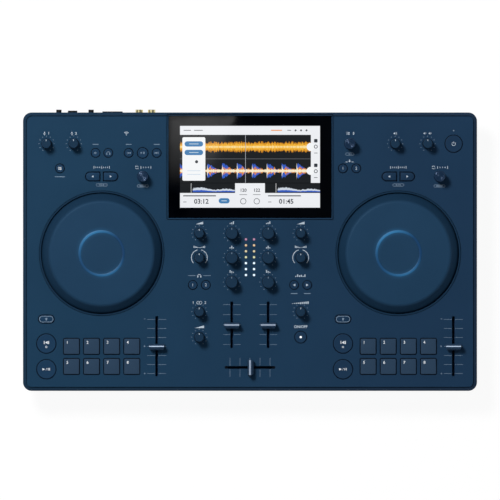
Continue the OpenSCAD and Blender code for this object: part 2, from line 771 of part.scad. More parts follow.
// Data sockets: open metal shells with a contact tongue
shell_t = 0.35;
usb_depth = 14;
usb_flange = 2;
module usb_ports() color(metal) {
    facing_rear(usb_a_x) usb_shell(usb_a_w, usb_a_h, 1.8, 10.5);
    facing_rear(usb_c_x) usb_shell(usb_c_w, usb_c_h, 0.7, 6.6);
}
module usb_shell(w, h, tongue_t, tongue_w) {
    difference() {
        union() {
            translate([-w / 2, -h / 2, -usb_depth]) cube([w, h, usb_depth + wall]);
            translate([-w / 2 - usb_flange, -h / 2 - usb_flange, -rear_t - usb_flange])
                cube([w + 2 * usb_flange, h + 2 * usb_flange, usb_flange]);
        }
        translate([-w / 2 + shell_t, -h / 2 + shell_t, -usb_depth + shell_t])
            cube([w - 2 * shell_t, h - 2 * shell_t, usb_depth + wall]);
    }
    translate([-tongue_w / 2, -tongue_t / 2, -usb_depth + shell_t]) cube([tongue_w, tongue_t, usb_depth]);
}

module indicator_lights() color("white") {
    for (side = [-1, 1], row = [0:meter_rows - 1])
        translate([side * meter_x, meter_y - row * meter_pitch, board_top_z])
            cylinder(r = meter_r, h = control_room + panel_t);
    translate([power_light_at[0], power_light_at[1], board_top_z])
        cylinder(r = power_light_r, h = control_room + panel_t);
}

// Fixed dish under each jog wheel: its wall stands against the panel, its spindle carries the wheel
spindle_top_gap = 1;
jog_foot_z = panel_z - dish_depth + dish_t + 2 * run_gap;
jog_top_z = top_z + jog_rise;
shoulder_w = 3;
module jog_bases() color(navy_dark) for (side = [-1, 1]) translate([side * deck_x, jog_y, 0]) {
    low = panel_z - dish_depth;
    rotate_extrude() polygon([
        [0, low], [well_r + run_gap + dish_wall, low], [well_r + run_gap + dish_wall, panel_z],
        [well_r + run_gap, panel_z], [well_r + run_gap, low + dish_t],
        [spindle_r + shoulder_w, low + dish_t], [spindle_r + shoulder_w, jog_foot_z - run_gap],
        [spindle_r, jog_foot_z - run_gap], [spindle_r, jog_top_z - jog_shell - spindle_top_gap],
        [0, jog_top_z - jog_shell - spindle_top_gap]
    ]);
}

// Jog wheel: a hollow disc with a sloping side, a hub on the spindle and a groove for the light ring
jog_brow = 1;
module jog_wheel(side) color(navy) translate([side * deck_x, jog_y, 0]) difference() {
    rotate_extrude() polygon([
        [spindle_r + shaft_gap, jog_foot_z], [spindle_r + hub_wall, jog_foot_z],
        [spindle_r + hub_wall, jog_top_z - 2 * jog_shell], [jog_top_r - jog_shell, jog_top_z - 2 * jog_shell],
        [jog_r - jog_shell, top_z], [jog_r - jog_shell, jog_foot_z], [jog_r, jog_foot_z],
        [jog_r, top_z + jog_brow], [jog_top_r, jog_top_z - jog_brow / 2], [jog_top_r - jog_brow / 2, jog_top_z],
        [0, jog_top_z], [0, jog_top_z - jog_shell], [spindle_r + shaft_gap, jog_top_z - jog_shell]
    ]);
    translate([0, 0, jog_top_z - ring_deep]) difference() {
        cylinder(r = ring_r + ring_w / 2, h = ring_deep + cut);
        cylinder(r = ring_r - ring_w / 2, h = ring_deep + cut);
    }
}
module jog_wheel_left() jog_wheel(-1);
module jog_wheel_right() jog_wheel(1);

module light_ring(side) color(light_blue) translate([side * deck_x, jog_y, jog_top_z - ring_deep]) difference() {
    cylinder(r = ring_r + ring_w / 2 - press_gap, h = ring_deep);
    translate([0, 0, -cut]) cylinder(r = ring_r - ring_w / 2 + press_gap, h = ring_deep + 2 * cut);
}
module light_ring_left() light_ring(-1);
module light_ring_right() light_ring(1);

// A fader: a cap with a raised line at the back of its crest, pressed on a flat lever
cap_back = 2.6;
cap_front = 5.6;
crest_back = 1.4;
crest_front = 0.9;
cap_skirt = 2.4;
lever_grip = 5;
module fader(place) {
    low = top_z + cap_lift;
    lever_low = board_top_z + lever_foot;
    translate(place[0]) rotate(place[1]) {
        color(navy_dark) difference() {
            translate([-cap_w / 2, 0, low]) rotate([90, 0, 90]) linear_extrude(cap_w) polygon([
                [-cap_front, 0], [cap_back, 0], [cap_back, cap_skirt], [crest_back, cap_h],
                [-crest_front, cap_h], [-cap_front, cap_skirt]
            ]);
            translate([-lever_t / 2 - press_gap, -lever_l / 2 - press_gap, low - cut])
                cube([lever_t + 2 * press_gap, lever_l + 2 * press_gap, lever_grip + cut]);
        }
        color(metal) translate([-lever_t / 2, -lever_l / 2, lever_low])
            cube([lever_t, lever_l, low + lever_grip - lever_low - press_gap]);
    }
}
module tempo_fader_left() fader(tempo_place(-1));
module tempo_fader_right() fader(tempo_place(1));
module channel_fader_1() fader(channel_place(-1));
module channel_fader_2() fader(channel_place(1));
module crossfader() fader(cross_place);

// The shaft that a knob is pressed on
module knob_shaft() color(metal) {
    low = board_top_z + shaft_foot + run_gap;
    translate([0, 0, low]) cylinder(r = shaft_r, h = top_z + knob_lift + knob_h - knob_cap_t - press_gap - low);
}

// A pointer knob: tapered cap with a groove for the pointer at its back edge
module pointer_knob(at, r, top_r) translate([at[0], at[1], 0]) {
    low = top_z + knob_lift;
    color(navy_dark) difference() {
        translate([0, 0, low]) rotate_extrude() polygon([
            [shaft_r + press_gap, 0], [r, 0], [r, cap_skirt], [top_r, knob_h - knob_chamfer],
            [top_r - knob_chamfer, knob_h], [0, knob_h], [0, knob_h - knob_cap_t],
            [shaft_r + press_gap, knob_h - knob_cap_t]
        ]);
        translate([-pointer_w / 2, top_r - pointer_l, low + knob_h - pointer_deep])
            cube([pointer_w, pointer_l + cut, pointer_deep + cut]);
    }
    knob_shaft();
}
module small_knob(at) pointer_knob(at, knob_r, knob_top_r);
module tone_knob(at) pointer_knob(at, tone_knob_r, tone_knob_top_r);

module mic_1_knob() small_knob(mic_1_at);
module mic_2_knob() small_knob(mic_2_at);
module booth_knob() small_knob(booth_at);
module master_knob() small_knob(master_at);
module trim_knob_1() small_knob([-trim_x, high_y]);
module trim_knob_2() small_knob([trim_x, high_y]);
module filter_knob_1() small_knob([-trim_x, middle_y]);
module filter_knob_2() small_knob([trim_x, middle_y]);
module headphone_mix_knob() small_knob([-trim_x, mix_y]);
module headphone_level_knob() small_knob([-trim_x, level_y]);
module effect_depth_knob() small_knob([trim_x, mix_y]);
module high_knob_1() tone_knob([-tone_x, high_y]);
module high_knob_2() tone_knob([tone_x, high_y]);
module middle_knob_1() tone_knob([-tone_x, middle_y]);
module middle_knob_2() tone_knob([tone_x, middle_y]);
module low_knob_1() tone_knob([-tone_x, low_y]);
module low_knob_2() tone_knob([tone_x, low_y]);

// A selector that turns without end: fluted sides and a dished top
flutes = 20;
flute_r = 0.55;
selector_dish = 0.6;
module selector(at) translate([at[0], at[1], 0]) {
    low = top_z + knob_lift;
    color(navy_dark) difference() {
        translate([0, 0, low]) rotate_extrude() polygon([
            [shaft_r + press_gap, 0], [selector_r, 0], [selector_r, knob_h - knob_chamfer],
            [selector_r - knob_chamfer, knob_h], [selector_r - 2 * knob_chamfer, knob_h],
            [0, knob_h - selector_dish], [0, knob_h - knob_cap_t], [shaft_r + press_gap, knob_h - knob_cap_t]
        ]);
        for (i = [0:flutes - 1])
            rotate(i * 360 / flutes) translate([selector_r + flute_r / 3, 0, low + cap_skirt / 2])
                cylinder(r = flute_r, h = knob_h - cap_skirt);
    }
    knob_shaft();
}
module browse_selector() selector(browse_at);
module loop_selector_left() selector(loop_at(-1));
module loop_selector_right() selector(loop_at(1));

// A small trim knob on the rear: a slotted cap on a thin shaft
rear_knob_out = 3.5;
module rear_trim_knob(x) color(rubber_black) facing_rear(x) {
    reach = wall + tray_inset + rear_knob_out;
    difference() {
        union() {
            translate([0, 0, run_gap]) cylinder(r = rear_knob_r, h = reach - run_gap);
            translate([0, 0, -rear_t - rear_pot_depth + shaft_foot + run_gap])
                cylinder(r = rear_shaft_r, h = rear_t + rear_pot_depth);
        }
        translate([-pointer_w / 2, -rear_knob_r - cut, reach - pointer_deep])
            cube([pointer_w, rear_knob_r + cut, pointer_deep + cut]);
    }
}
module rear_trim_knob_1() rear_trim_knob(rear_trim_xs[0]);
module rear_trim_knob_2() rear_trim_knob(rear_trim_xs[1]);

// A round key: a stem with a bevelled top and a flange that stays under the panel
module round_key(spot) translate([spot[0], spot[1], 0]) rotate_extrude() polygon([
    [0, key_foot_z], [spot[2] + key_flange, key_foot_z], [spot[2] + key_flange, key_top_z],
    [spot[2], key_top_z], [spot[2], top_z + key_rise - key_chamfer],
    [spot[2] - key_chamfer, top_z + key_rise], [0, top_z + key_rise]
]);

module cue_key_left() color(navy) round_key(cue_spot(-1));
module cue_key_right() color(navy) round_key(cue_spot(1));
module play_key_left() color(navy) round_key(play_spot(-1));
module play_key_right() color(navy) round_key(play_spot(1));
module power_key() color(navy) round_key(power_spot);
module effect_key() color(navy) round_key(effect_spot);
module left_function_keys() color(navy) for (spot = left_function_spots) round_key(spot);
module mixer_keys() color(navy) for (spot = mixer_spots) round_key(spot);

module shift_key(side) color(navy) translate([shift_at(side)[0], shift_at(side)[1], 0]) {
    translate([0, 0, key_foot_z])
        linear_extrude(key_flange_t) pill_outline(shift_w + 2 * key_flange, shift_d + 2 * key_flange);
    translate([0, 0, key_top_z])
        linear_extrude(top_z + key_rise - key_top_z) pill_outline(shift_w, shift_d);
}
module shift_key_left() shift_key(-1);
module shift_key_right() shift_key(1);

// Two jump keys on one carrier under the panel
module jump_keys(side) color(navy) {
    carrier_w = 2 * jump_w + jump_space + 2 * key_flange;
    translate([side * deck_x, jump_y, key_foot_z])
        linear_extrude(key_flange_t) pill_outline(carrier_w, jump_d + 2 * key_flange);
    for (end = [-1, 1])
        translate([jump_at(side, end)[0], jump_at(side, end)[1], key_top_z])
            linear_extrude(top_z + key_rise - key_top_z) jump_outline(end, 0);
}
module jump_keys_left() jump_keys(-1);
module jump_keys_right() jump_keys(1);

// Eight pads moulded on one mat under the panel
pad_bevel = 0.5;
module pads(side) color(pad_grey) {
    mat_w = (pad_columns - 1) * pad_pitch + pad_side + 2 * key_flange;
    mat_d = (pad_rows - 1) * pad_pitch + pad_side + 2 * key_flange;
    translate([side * deck_x, pads_y, key_foot_z]) linear_extrude(key_flange_t) rounded_outline(mat_w, mat_d, 2 * pad_r);
    for (p = pad_spots(side))
        translate([p[0], p[1], 0])
            edge_slab(pad_side, pad_side, pad_r,
                [[0, key_top_z], [0, top_z + pad_rise - pad_bevel], [pad_bevel, top_z + pad_rise]]);
}
module pads_left() pads(-1);
module pads_right() pads(1);

bottom_case();
top_case();
top_panel();
rear_panel();
touch_screen();
main_board();
board_controls();
battery_pack();
rubber_feet();
case_screws();
audio_jacks();
line_jacks();
usb_ports();
indicator_lights();
jog_bases();
jog_wheel_left();
jog_wheel_right();
light_ring_left();
light_ring_right();
tempo_fader_left();
tempo_fader_right();
channel_fader_1();
channel_fader_2();
crossfader();
mic_1_knob();
mic_2_knob();
booth_knob();
master_knob();
trim_knob_1();
trim_knob_2();
filter_knob_1();
filter_knob_2();
high_knob_1();
high_knob_2();
middle_knob_1();
middle_knob_2();
low_knob_1();
low_knob_2();
headphone_mix_knob();
headphone_level_knob();
effect_depth_knob();
browse_selector();
loop_selector_left();
loop_selector_right();
rear_trim_knob_1();
rear_trim_knob_2();
pads_left();
pads_right();
cue_key_left();
cue_key_right();
play_key_left();
play_key_right();
shift_key_left();
shift_key_right();
jump_keys_left();
jump_keys_right();
power_key();
effect_key();
left_function_keys();
mixer_keys();
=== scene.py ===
import json
import math

import bmesh
import bpy
from mathutils import Matrix, Vector

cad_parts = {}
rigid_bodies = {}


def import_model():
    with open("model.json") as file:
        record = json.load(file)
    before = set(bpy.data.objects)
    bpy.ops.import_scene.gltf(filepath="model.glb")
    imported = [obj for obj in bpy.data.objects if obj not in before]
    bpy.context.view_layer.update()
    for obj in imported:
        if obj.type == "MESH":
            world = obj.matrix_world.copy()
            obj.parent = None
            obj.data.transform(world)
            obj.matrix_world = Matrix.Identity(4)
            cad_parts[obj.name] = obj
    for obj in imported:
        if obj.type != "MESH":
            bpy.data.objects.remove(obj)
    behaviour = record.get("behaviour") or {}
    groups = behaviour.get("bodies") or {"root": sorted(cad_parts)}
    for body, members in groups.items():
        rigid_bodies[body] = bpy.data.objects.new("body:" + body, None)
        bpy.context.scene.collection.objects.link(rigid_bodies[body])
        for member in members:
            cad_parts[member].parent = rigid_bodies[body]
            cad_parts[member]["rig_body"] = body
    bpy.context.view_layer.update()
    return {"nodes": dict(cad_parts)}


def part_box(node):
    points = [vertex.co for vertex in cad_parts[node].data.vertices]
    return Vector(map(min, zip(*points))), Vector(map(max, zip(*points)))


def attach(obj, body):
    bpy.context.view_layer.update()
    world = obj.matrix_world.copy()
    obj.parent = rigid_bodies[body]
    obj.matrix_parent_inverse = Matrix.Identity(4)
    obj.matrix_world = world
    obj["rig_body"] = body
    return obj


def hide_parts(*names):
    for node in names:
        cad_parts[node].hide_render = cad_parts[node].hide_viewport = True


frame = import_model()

# Sizes are written in millimetres, and the finished meshes are in metres
MM = 0.001
full_turn = 2 * math.pi
merge_gap = 0.0005
arc_gap = 0.01
sharp_edge = math.radians(40)


def node_box(node):
    """Lowest and highest corner of a construction node."""
    low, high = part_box(node)
    return low / MM, high / MM


def node_spot(node, right=0, rearward=0):
    """Middle of a construction node, seen from above, or a place off it."""
    low, high = node_box(node)
    x, y = ((low + high) / 2).xy
    return x + right, y + rearward


def node_round(node):
    """Radius, foot and top of a round construction node."""
    low, high = node_box(node)
    return (high.x - low.x) / 2, low.z, high.z


# Places and groups that many pieces share
panel_top = node_box("top_panel")[1].z
knob_foot = panel_top + 0.8
deck_sides = ("left", "right")
channels = (1, 2)
both_ends = (-1, 1)


# Shapes

def move(shape, step):
    """Moves a whole shape."""
    bmesh.ops.translate(shape, vec=step, verts=shape.verts)
    return shape


def take_in(whole, shape):
    """Adds a shape to another one and lets go of it."""
    carrier = bpy.data.meshes.new("carrier")
    shape.to_mesh(carrier)
    whole.from_mesh(carrier)
    bpy.data.meshes.remove(carrier)
    shape.free()


def joined(*shapes):
    """Several shapes in one."""
    whole = bmesh.new()
    for shape in shapes:
        take_in(whole, shape)
    return whole


def turned(section, steps, middle, closed=False):
    """A round solid turned from a half section of (radius, height); a closed section makes a ring."""
    shape = bmesh.new()
    points = [shape.verts.new((radius, 0, height)) for radius, height in section]
    pairs = list(zip(points, points[1:]))
    if closed:
        pairs.append((points[-1], points[0]))
    edges = [shape.edges.new(pair) for pair in pairs]
    bmesh.ops.spin(shape, geom=points + edges, cent=(0, 0, 0), axis=(0, 0, 1), angle=full_turn,
                   steps=steps, use_merge=True)
    bmesh.ops.remove_doubles(shape, verts=shape.verts, dist=merge_gap)
    bmesh.ops.recalc_face_normals(shape, faces=shape.faces)
    return move(shape, (*middle, 0))


def rounded(flat, corners, radius, steps):
    """Rounds some corners of a flat shape."""
    bmesh.ops.bevel(flat, geom=corners, affect="VERTICES", offset=radius, segments=steps, profile=0.5,
                    material=-1)
    return flat


def outline(width, depth, corner=0, steps=6):
    """A flat rectangle, with round corners if wanted."""
    flat = bmesh.new()
    bmesh.ops.create_grid(flat, x_segments=1, y_segments=1, size=0.5)
    bmesh.ops.scale(flat, vec=(width, depth, 1), verts=flat.verts)
    return rounded(flat, flat.verts[:], corner, steps) if corner else flat


def pill(width, depth):
    """A flat bar with round ends."""
    return outline(width, depth, depth / 2 - arc_gap, 12)


def disc(radius, steps=48):
    """A flat round."""
    flat = bmesh.new()
    bmesh.ops.create_circle(flat, cap_ends=True, radius=radius, segments=steps)
    return flat


def extruded(shape, step):
    """Draws flat faces out along a step."""
    grown = bmesh.ops.extrude_face_region(shape, geom=shape.faces[:])
    far = [part for part in grown["geom"] if isinstance(part, bmesh.types.BMVert)]
    bmesh.ops.translate(shape, vec=step, verts=far)
    bmesh.ops.recalc_face_normals(shape, faces=shape.faces)
    return shape


def upright(flat, middle, low, high):
    """A flat outline with straight walls between two heights."""
    return extruded(move(flat, (*middle, low)), (0, 0, high - low))


def soften(shape, radius, above=-math.inf):
    """Rounds the sharp edges that lie above a height."""
    sharp = []
    for edge in shape.edges:
        if min(vert.co.z for vert in edge.verts) > above and edge.calc_face_angle(0) > sharp_edge:
            sharp.append(edge)
    bmesh.ops.bevel(shape, geom=sharp, affect="EDGES", offset=radius, segments=3, profile=0.5, material=-1)


def piece(name, shape, finish, body="case", stands_for=(), crease=38, unit=MM):
    """Turns a shape into a piece of the object that rides on a body."""
    if unit != 1:
        bmesh.ops.scale(shape, vec=(unit, unit, unit), verts=shape.verts)
    for face in shape.faces:
        face.smooth = True
    for edge in shape.edges:
        edge.smooth = edge.calc_face_angle(0) < math.radians(crease)
    mesh = bpy.data.meshes.new(name)
    shape.to_mesh(mesh)
    shape.free()
    mesh.materials.append(finish.material)
    made = bpy.data.objects.new(name, mesh)
    bpy.context.scene.collection.objects.link(made)
    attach(made, body)
    if stands_for:
        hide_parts(*stands_for)
    return made


# Flat marks: print on the panel, legends on keys and the picture on the screen
numeral_share = 0.69
tall_beat = 2.9
level_turn = {-1: 180, 1: 0}


def ahead(degrees):
    """A step of length 1 in a direction."""
    angle = math.radians(degrees)
    return Vector((math.cos(angle), math.sin(angle)))


class Marks:
    """Flat marks at one height, raised together to a thin layer."""

    def __init__(self, height, rise=0.05):
        self.shape = bmesh.new()
        self.height = height
        self.rise = rise

    def add(self, flat, middle):
        """Takes in another flat shape."""
        take_in(self.shape, move(flat, (*middle, 0)))

    def icon(self, draw, middle, size, *details):
        """Takes in an icon that a function draws round the origin, times a size."""
        drawing = Marks(0)
        draw(drawing, *details)
        bmesh.ops.scale(drawing.shape, vec=(size, size, 1), verts=drawing.shape.verts)
        self.add(drawing.shape, middle)

    def plate(self, middle, width, depth, corner=0):
        """A level rectangle round its middle, with round corners if wanted."""
        self.add(outline(width, depth, corner), middle)

    def block(self, left, low, right, high, corner=0):
        """A level rectangle between its sides."""
        self.plate(((left + right) / 2, (low + high) / 2), right - left, high - low, corner)

    def bar(self, start, end, width):
        """A straight stroke."""
        start, end = Vector(start), Vector(end)
        along = end - start
        place = Matrix.Translation(((start + end) / 2).to_3d())
        turn = Matrix.Rotation(math.atan2(along.y, along.x), 4, "Z")
        size = Matrix.Diagonal((along.length, width, 1, 1))
        bmesh.ops.create_grid(self.shape, x_segments=1, y_segments=1, size=0.5, matrix=place @ turn @ size)

    def dot(self, middle, radius, steps):
        """A round spot."""
        self.add(disc(radius, steps), middle)

    def arc(self, middle, radius, width, start, end, steps=24):
        """A curved stroke from one angle to another, in degrees."""
        flat = bmesh.new()
        reaches = (radius - width / 2, radius + width / 2)
        ends = [flat.verts.new((ahead(start) * reach).to_3d()) for reach in reaches]
        bmesh.ops.spin(flat, geom=[*ends, flat.edges.new(ends)], cent=(0, 0, 0), axis=(0, 0, 1),
                       angle=math.radians(end - start), steps=steps)
        self.add(flat, middle)

    def ring(self, middle, radius, width):
        """A full circle line, in two halves."""
        self.arc(middle, radius, width, 0, 180)
        self.arc(middle, radius, width, 180, 360)

    def patch(self, *points):
        """A filled outline of a few corners."""
        self.shape.faces.new([self.shape.verts.new((x, y, 0)) for x, y in points])

    def wedge(self, middle, width, depth):
        """A filled triangle that rises to the right."""
        low, high = middle[1] - depth / 2, middle[1] + depth / 2
        left, right = middle[0] - width / 2, middle[0] + width / 2
        self.patch((left, low), (right, low), (right, high))

    def arrow(self, tip, length, half, turn=0):
        """A filled triangle that points along a direction in degrees."""
        across = ahead(turn + 90) * half
        back = Vector(tip) - ahead(turn) * length
        self.patch(tip, back + across, back - across)

    def border(self, flat, middle, width):
        """A line of one width just inside a flat outline."""
        inside = flat.faces[:]
        bmesh.ops.inset_region(flat, faces=inside, thickness=width, use_even_offset=True, use_boundary=True)
        bmesh.ops.delete(flat, geom=inside, context="FACES")
        self.add(flat, middle)

    def frame(self, middle, width, depth, line):
        """A pill-shaped line."""
        self.border(pill(width, depth), middle, line)

    def bars(self, foot, width, heights):
        """A row of upright bars of given heights on one base line."""
        pitch = width / len(heights)
        for index, height in enumerate(heights):
            left = foot[0] - width / 2 + index * pitch
            self.block(left, foot[1], left + 0.62 * pitch, foot[1] + height)

    def beats(self, middle, width, count):
        """A beat grid: a row of ticks with every fourth one taller."""
        for index in range(count):
            step = index * width / (count - 1) - width / 2
            height = tall_beat if index % 4 == 0 else 0.55 * tall_beat
            self.plate((middle[0] + step, middle[1]), 0.6, height)

    def numerals(self, text, middle, height, weight=0.02):
        """Plain numerals and signs of a given height."""
        curve = bpy.data.curves.new("numerals", "FONT")
        curve.body = text
        curve.size = height / numeral_share
        curve.align_x = "CENTER"
        curve.align_y = "CENTER"
        curve.resolution_u = 3
        curve.offset = weight * curve.size
        holder = bpy.data.objects.new("numerals", curve)
        mesh = bpy.data.meshes.new_from_object(holder)
        flat = bmesh.new()
        flat.from_mesh(mesh)
        bmesh.ops.remove_doubles(flat, verts=flat.verts, dist=merge_gap)
        bpy.data.objects.remove(holder)
        bpy.data.curves.remove(curve)
        bpy.data.meshes.remove(mesh)
        self.add(flat, middle)

    def done(self, name, finish, slot, body="case", turn=Matrix()):
        """Raises the marks, turns them to the face that they lie on and makes them a piece."""
        upright(self.shape, (0, 0), self.height, self.height + self.rise)
        bmesh.ops.transform(self.shape, matrix=turn, verts=self.shape.verts)
        piece(name, self.shape, finish, body)


# Icons that are drawn about 1 mm high and sized where they are used

def headphone_icon(marks):
    marks.arc((0, -0.1), 0.42, 0.13, 0, 180, 14)
    for end in both_ends:
        marks.plate((end * 0.4, -0.3), 0.26, 0.4)


def speaker_icon(marks, waves=2):
    marks.patch((-0.5, -0.15), (-0.3, -0.15), (0, -0.42), (0, 0.42), (-0.3, 0.15), (-0.5, 0.15))
    for index in range(waves):
        marks.arc((0, 0), 0.28 + 0.24 * index, 0.11, -50, 50, 10)


def microphone_icon(marks):
    marks.block(-0.17, -0.05, 0.17, 0.5, 0.16)
    marks.arc((0, 0.05), 0.32, 0.1, 180, 360, 12)
    marks.block(-0.05, -0.48, 0.05, -0.3)
    marks.block(-0.22, -0.56, 0.22, -0.46)


def list_icon(marks):
    for step in (-0.32, 0, 0.32):
        marks.plate((0.15, step), 0.7, 0.16)
        marks.dot((-0.42, step), 0.1, 10)


def loop_icon(marks):
    for start in (20, 200):
        marks.arc((0, 0), 0.42, 0.13, start, start + 120, 14)
        marks.arrow(ahead(start + 148.65) * 0.42, 0.34, 0.22, start + 225)


def radio_icon(marks):
    marks.dot((0, -0.4), 0.13, 12)
    for index in range(3):
        marks.arc((0, -0.4), 0.34 + 0.27 * index, 0.12, 42, 138, 12)


# Icons that are drawn at their real size

def cue_icon(marks):
    marks.arrow((-1.5, 1.2), 3.0, 1.7, 180)
    marks.block(-2.7, -0.5, -1.9, 2.9)
    marks.block(2.1, -0.5, 3.0, 2.9)
    marks.ring((0, -3.7), 0.9, 0.4)


def play_icon(marks):
    marks.arrow((-1.3, 0), 3.0, 1.3)
    marks.bar((-0.6, -1.3), (0.6, 1.3), 0.35)
    for left in (1.7, 3.3):
        marks.block(left, -1.3, left + 0.7, 1.3)


def small_play_icon(marks):
    marks.arrow((-0.2, 0), 2.1, 1.2)
    for left in (0.5, 1.5):
        marks.block(left, -1.2, left + 0.6, 1.2)


def skip_icon(marks, end):
    for reach in (1.2, -0.5):
        marks.arrow((end * reach, 0), 1.7, 1.1, level_turn[end])
    marks.plate((end * 1.65, 0), 0.5, 2.2)


def shift_icon(marks, width, depth):
    marks.frame((0, 0), width, depth, 0.55)
    marks.arrow((0, 1.6), 1.6, 1.6, 90)
    marks.block(-0.7, -1.5, 0.7, 0)


def power_icon(marks):
    marks.arc((0, -0.2), 1.9, 0.55, 125, 415, 26)
    marks.block(-0.28, 0.2, 0.28, 2.3)


def charging_icon(marks):
    for end in both_ends:
        marks.patch((end * 0.2, end * 1.9), (-end * 1.1, -end * 0.2), (end * 0.1, -end * 0.2))


def drive_icon(marks):
    marks.block(-2.4, -1.0, 0.9, 1.0, 0.4)
    marks.block(1.2, -0.7, 2.5, 0.7)


# Finishes

def tone(red, green, blue):
    """A colour seen on a display, 0 to 255, as shader values."""
    def straight(value):
        value = value / 255
        return value / 12.92 if value <= 0.04045 else ((value + 0.055) / 1.055) ** 2.4
    return straight(red), straight(green), straight(blue), 1.0


def shaded(colour, share):
    """A lighter or darker form of a colour."""
    return tuple(min(1.0, part * share) for part in colour[:3]) + (1.0,)


def socket_names(values):
    """Values under the names of the sockets that they are for."""
    return {key.replace("_", " ").title().replace("Ior", "IOR"): value for key, value in values.items()}


class Wire:
    """A value in a finish's node tree; arithmetic on it adds Math nodes."""

    def __init__(self, finish, socket):
        self.finish = finish
        self.socket = socket

    def __add__(self, other):
        return self.finish.maths("ADD", self, other)

    def __sub__(self, other):
        return self.finish.maths("SUBTRACT", self, other)

    def __rsub__(self, other):
        return self.finish.maths("SUBTRACT", other, self)

    def __mul__(self, other):
        return self.finish.maths("MULTIPLY", self, other)

    __radd__ = __add__
    __rmul__ = __mul__

    def swing(self):
        """A sine of the value that runs from 0 to 1."""
        return self.sine() * 0.5 + 0.5

    def sine(self):
        return self.finish.maths("SINE", self)

    def between(self, low, high):
        """0 below low, 1 above high and a straight ramp between them."""
        return self.finish.maths("MULTIPLY", self - low, 1 / (high - low), clamp=True)


class Finish:
    """A procedural material on object coordinates, in millimetres."""

    def __init__(self, name, **fixed):
        self.material = bpy.data.materials.new(name)
        self.material.use_nodes = True
        self.tree = self.material.node_tree
        self.shader = self.tree.nodes["Principled BSDF"]
        self.feed(**fixed)
        place = self.node("ShaderNodeTexCoord", output="Object")
        self.place = self.node("ShaderNodeVectorMath", {"operation": "SCALE"}, {0: place, 3: 1 / MM})

    def plug(self, node, sockets):
        """Gives a node's sockets their values or links."""
        for key, value in sockets.items():
            if isinstance(value, Wire):
                self.tree.links.new(value.socket, node.inputs[key])
            else:
                node.inputs[key].default_value = value

    def node(self, kind, settings=None, sockets=None, output=0):
        """Adds a node: its settings first, then the values or links of its sockets."""
        made = self.tree.nodes.new(kind)
        for key, value in (settings or {}).items():
            setattr(made, key, value)
        self.plug(made, sockets or {})
        return Wire(self, made.outputs[output])

    def feed(self, **values):
        """Gives the shader's sockets their values or links."""
        self.plug(self.shader, socket_names(values))
        return self

    def maths(self, operation, *values, clamp=False):
        """Adds a Math node."""
        settings = {"operation": operation, "use_clamp": clamp}
        return self.node("ShaderNodeMath", settings, dict(enumerate(values)))

    def mix(self, share, first, second):
        """A colour between two others."""
        return self.node("ShaderNodeMix", {"data_type": "RGBA"}, {0: share, 6: first, 7: second}, output=2)

    def noise(self, size, detail):
        """Soft noise whose blots are about this many millimetres wide."""
        sockets = {"Vector": self.place, "Scale": 1 / size, "Detail": detail}
        return self.node("ShaderNodeTexNoise", sockets=sockets)

    def bump(self, height, depth):
        """Small relief, as deep as given in millimetres."""
        sockets = {"Strength": 1.0, "Distance": depth * MM, "Height": height}
        return self.node("ShaderNodeBump", sockets=sockets)

    def split(self, vector):
        """The three parts of a vector."""
        parts = self.node("ShaderNodeSeparateXYZ", sockets={0: vector}).socket.node.outputs
        return [Wire(self, part) for part in parts]

    def axes(self, spot=(0, 0)):
        """The three coordinates, measured from an upright axis."""
        sockets = {0: self.place, 1: (*spot, 0)}
        return self.split(self.node("ShaderNodeVectorMath", {"operation": "SUBTRACT"}, sockets))


def uneven(roughness, grain, share=0.1):
    """Roughness that varies with a grain."""
    return roughness + (grain - 0.5) * share


def grained(name, colour, roughness, grain, depth, drift, **fixed):
    """A surface with fine grain of a width and depth, a slow drift of colour and uneven gloss."""
    finish = Finish(name, **fixed)
    fine = finish.noise(grain, 3)
    share = finish.noise(45, 3) * 0.7 + fine * 0.3
    colours = finish.mix(share, shaded(colour, 1 - drift * 2), shaded(colour, 1 + drift * 2))
    gloss = uneven(uneven(roughness, fine), finish.noise(9, 2))
    return finish.feed(base_color=colours, roughness=gloss, normal=finish.bump(fine, depth))


def shine(level):
    """How much of the light a surface mirrors."""
    return {"specular_ior_level": level}


navy = {**shine(0.12), "specular_tint": (0.4, 0.68, 1.0, 1.0)}
metal = {"metallic": 1.0}
fader_moulding = grained("fader_moulding", tone(42, 64, 89), 0.45, 0.4, 0.012, 0.06, **navy)
pad_silicone = grained("pad_silicone", tone(46, 66, 88), 0.6, 0.5, 0.02, 0.07, **navy)
# Darker than the panel, partly as painted shade: the jog's shadow over the trim ring is painted into its
# colour
trim_moulding = grained("trim_moulding", tone(23, 48, 71), 0.5, 0.5, 0.01, 0.06, **navy)
dish_moulding = grained("dish_moulding", tone(6, 10, 17), 0.6, 0.6, 0.03, 0.08, **shine(0.1))
# Painted shade: a near-black sheet laid where gaps, recesses and grooves fall into shade
painted_gap_shade = grained("painted_gap_shade", tone(5, 10, 20), 0.7, 0.5, 0.02, 0.1, **shine(0.05))
socket_moulding = grained("socket_moulding", tone(11, 12, 14), 0.45, 0.4, 0.015, 0.1, **shine(0.2))
socket_plate_paint = grained("socket_plate_paint", tone(22, 30, 42), 0.5, 0.4, 0.02, 0.06, **shine(0.3))
control_moulding = grained("control_moulding", tone(26, 56, 92), 0.6, 0.8, 0.02, 0.06, **shine(0.15))
foot_rubber = grained("foot_rubber", tone(20, 20, 22), 0.8, 0.5, 0.05, 0.12)
battery_wrap = grained("battery_wrap", tone(30, 70, 130), 0.35, 2.0, 0.02, 0.08)
print_ink = grained("print_ink", tone(186, 200, 213), 0.6, 0.25, 0.004, 0.06)
faint_ink = grained("faint_ink", tone(118, 140, 162), 0.6, 0.25, 0.004, 0.06)
line_ink = grained("line_ink", tone(154, 170, 191), 0.5, 0.25, 0.004, 0.05)
tempo_ink = grained("tempo_ink", tone(200, 220, 244), 0.5, 0.25, 0.004, 0.05)
bright_ink = grained("bright_ink", tone(236, 241, 246), 0.55, 0.25, 0.004, 0.04)
line_gold = grained("line_gold", tone(232, 220, 168), 0.3, 0.6, 0.004, 0.06, **metal)
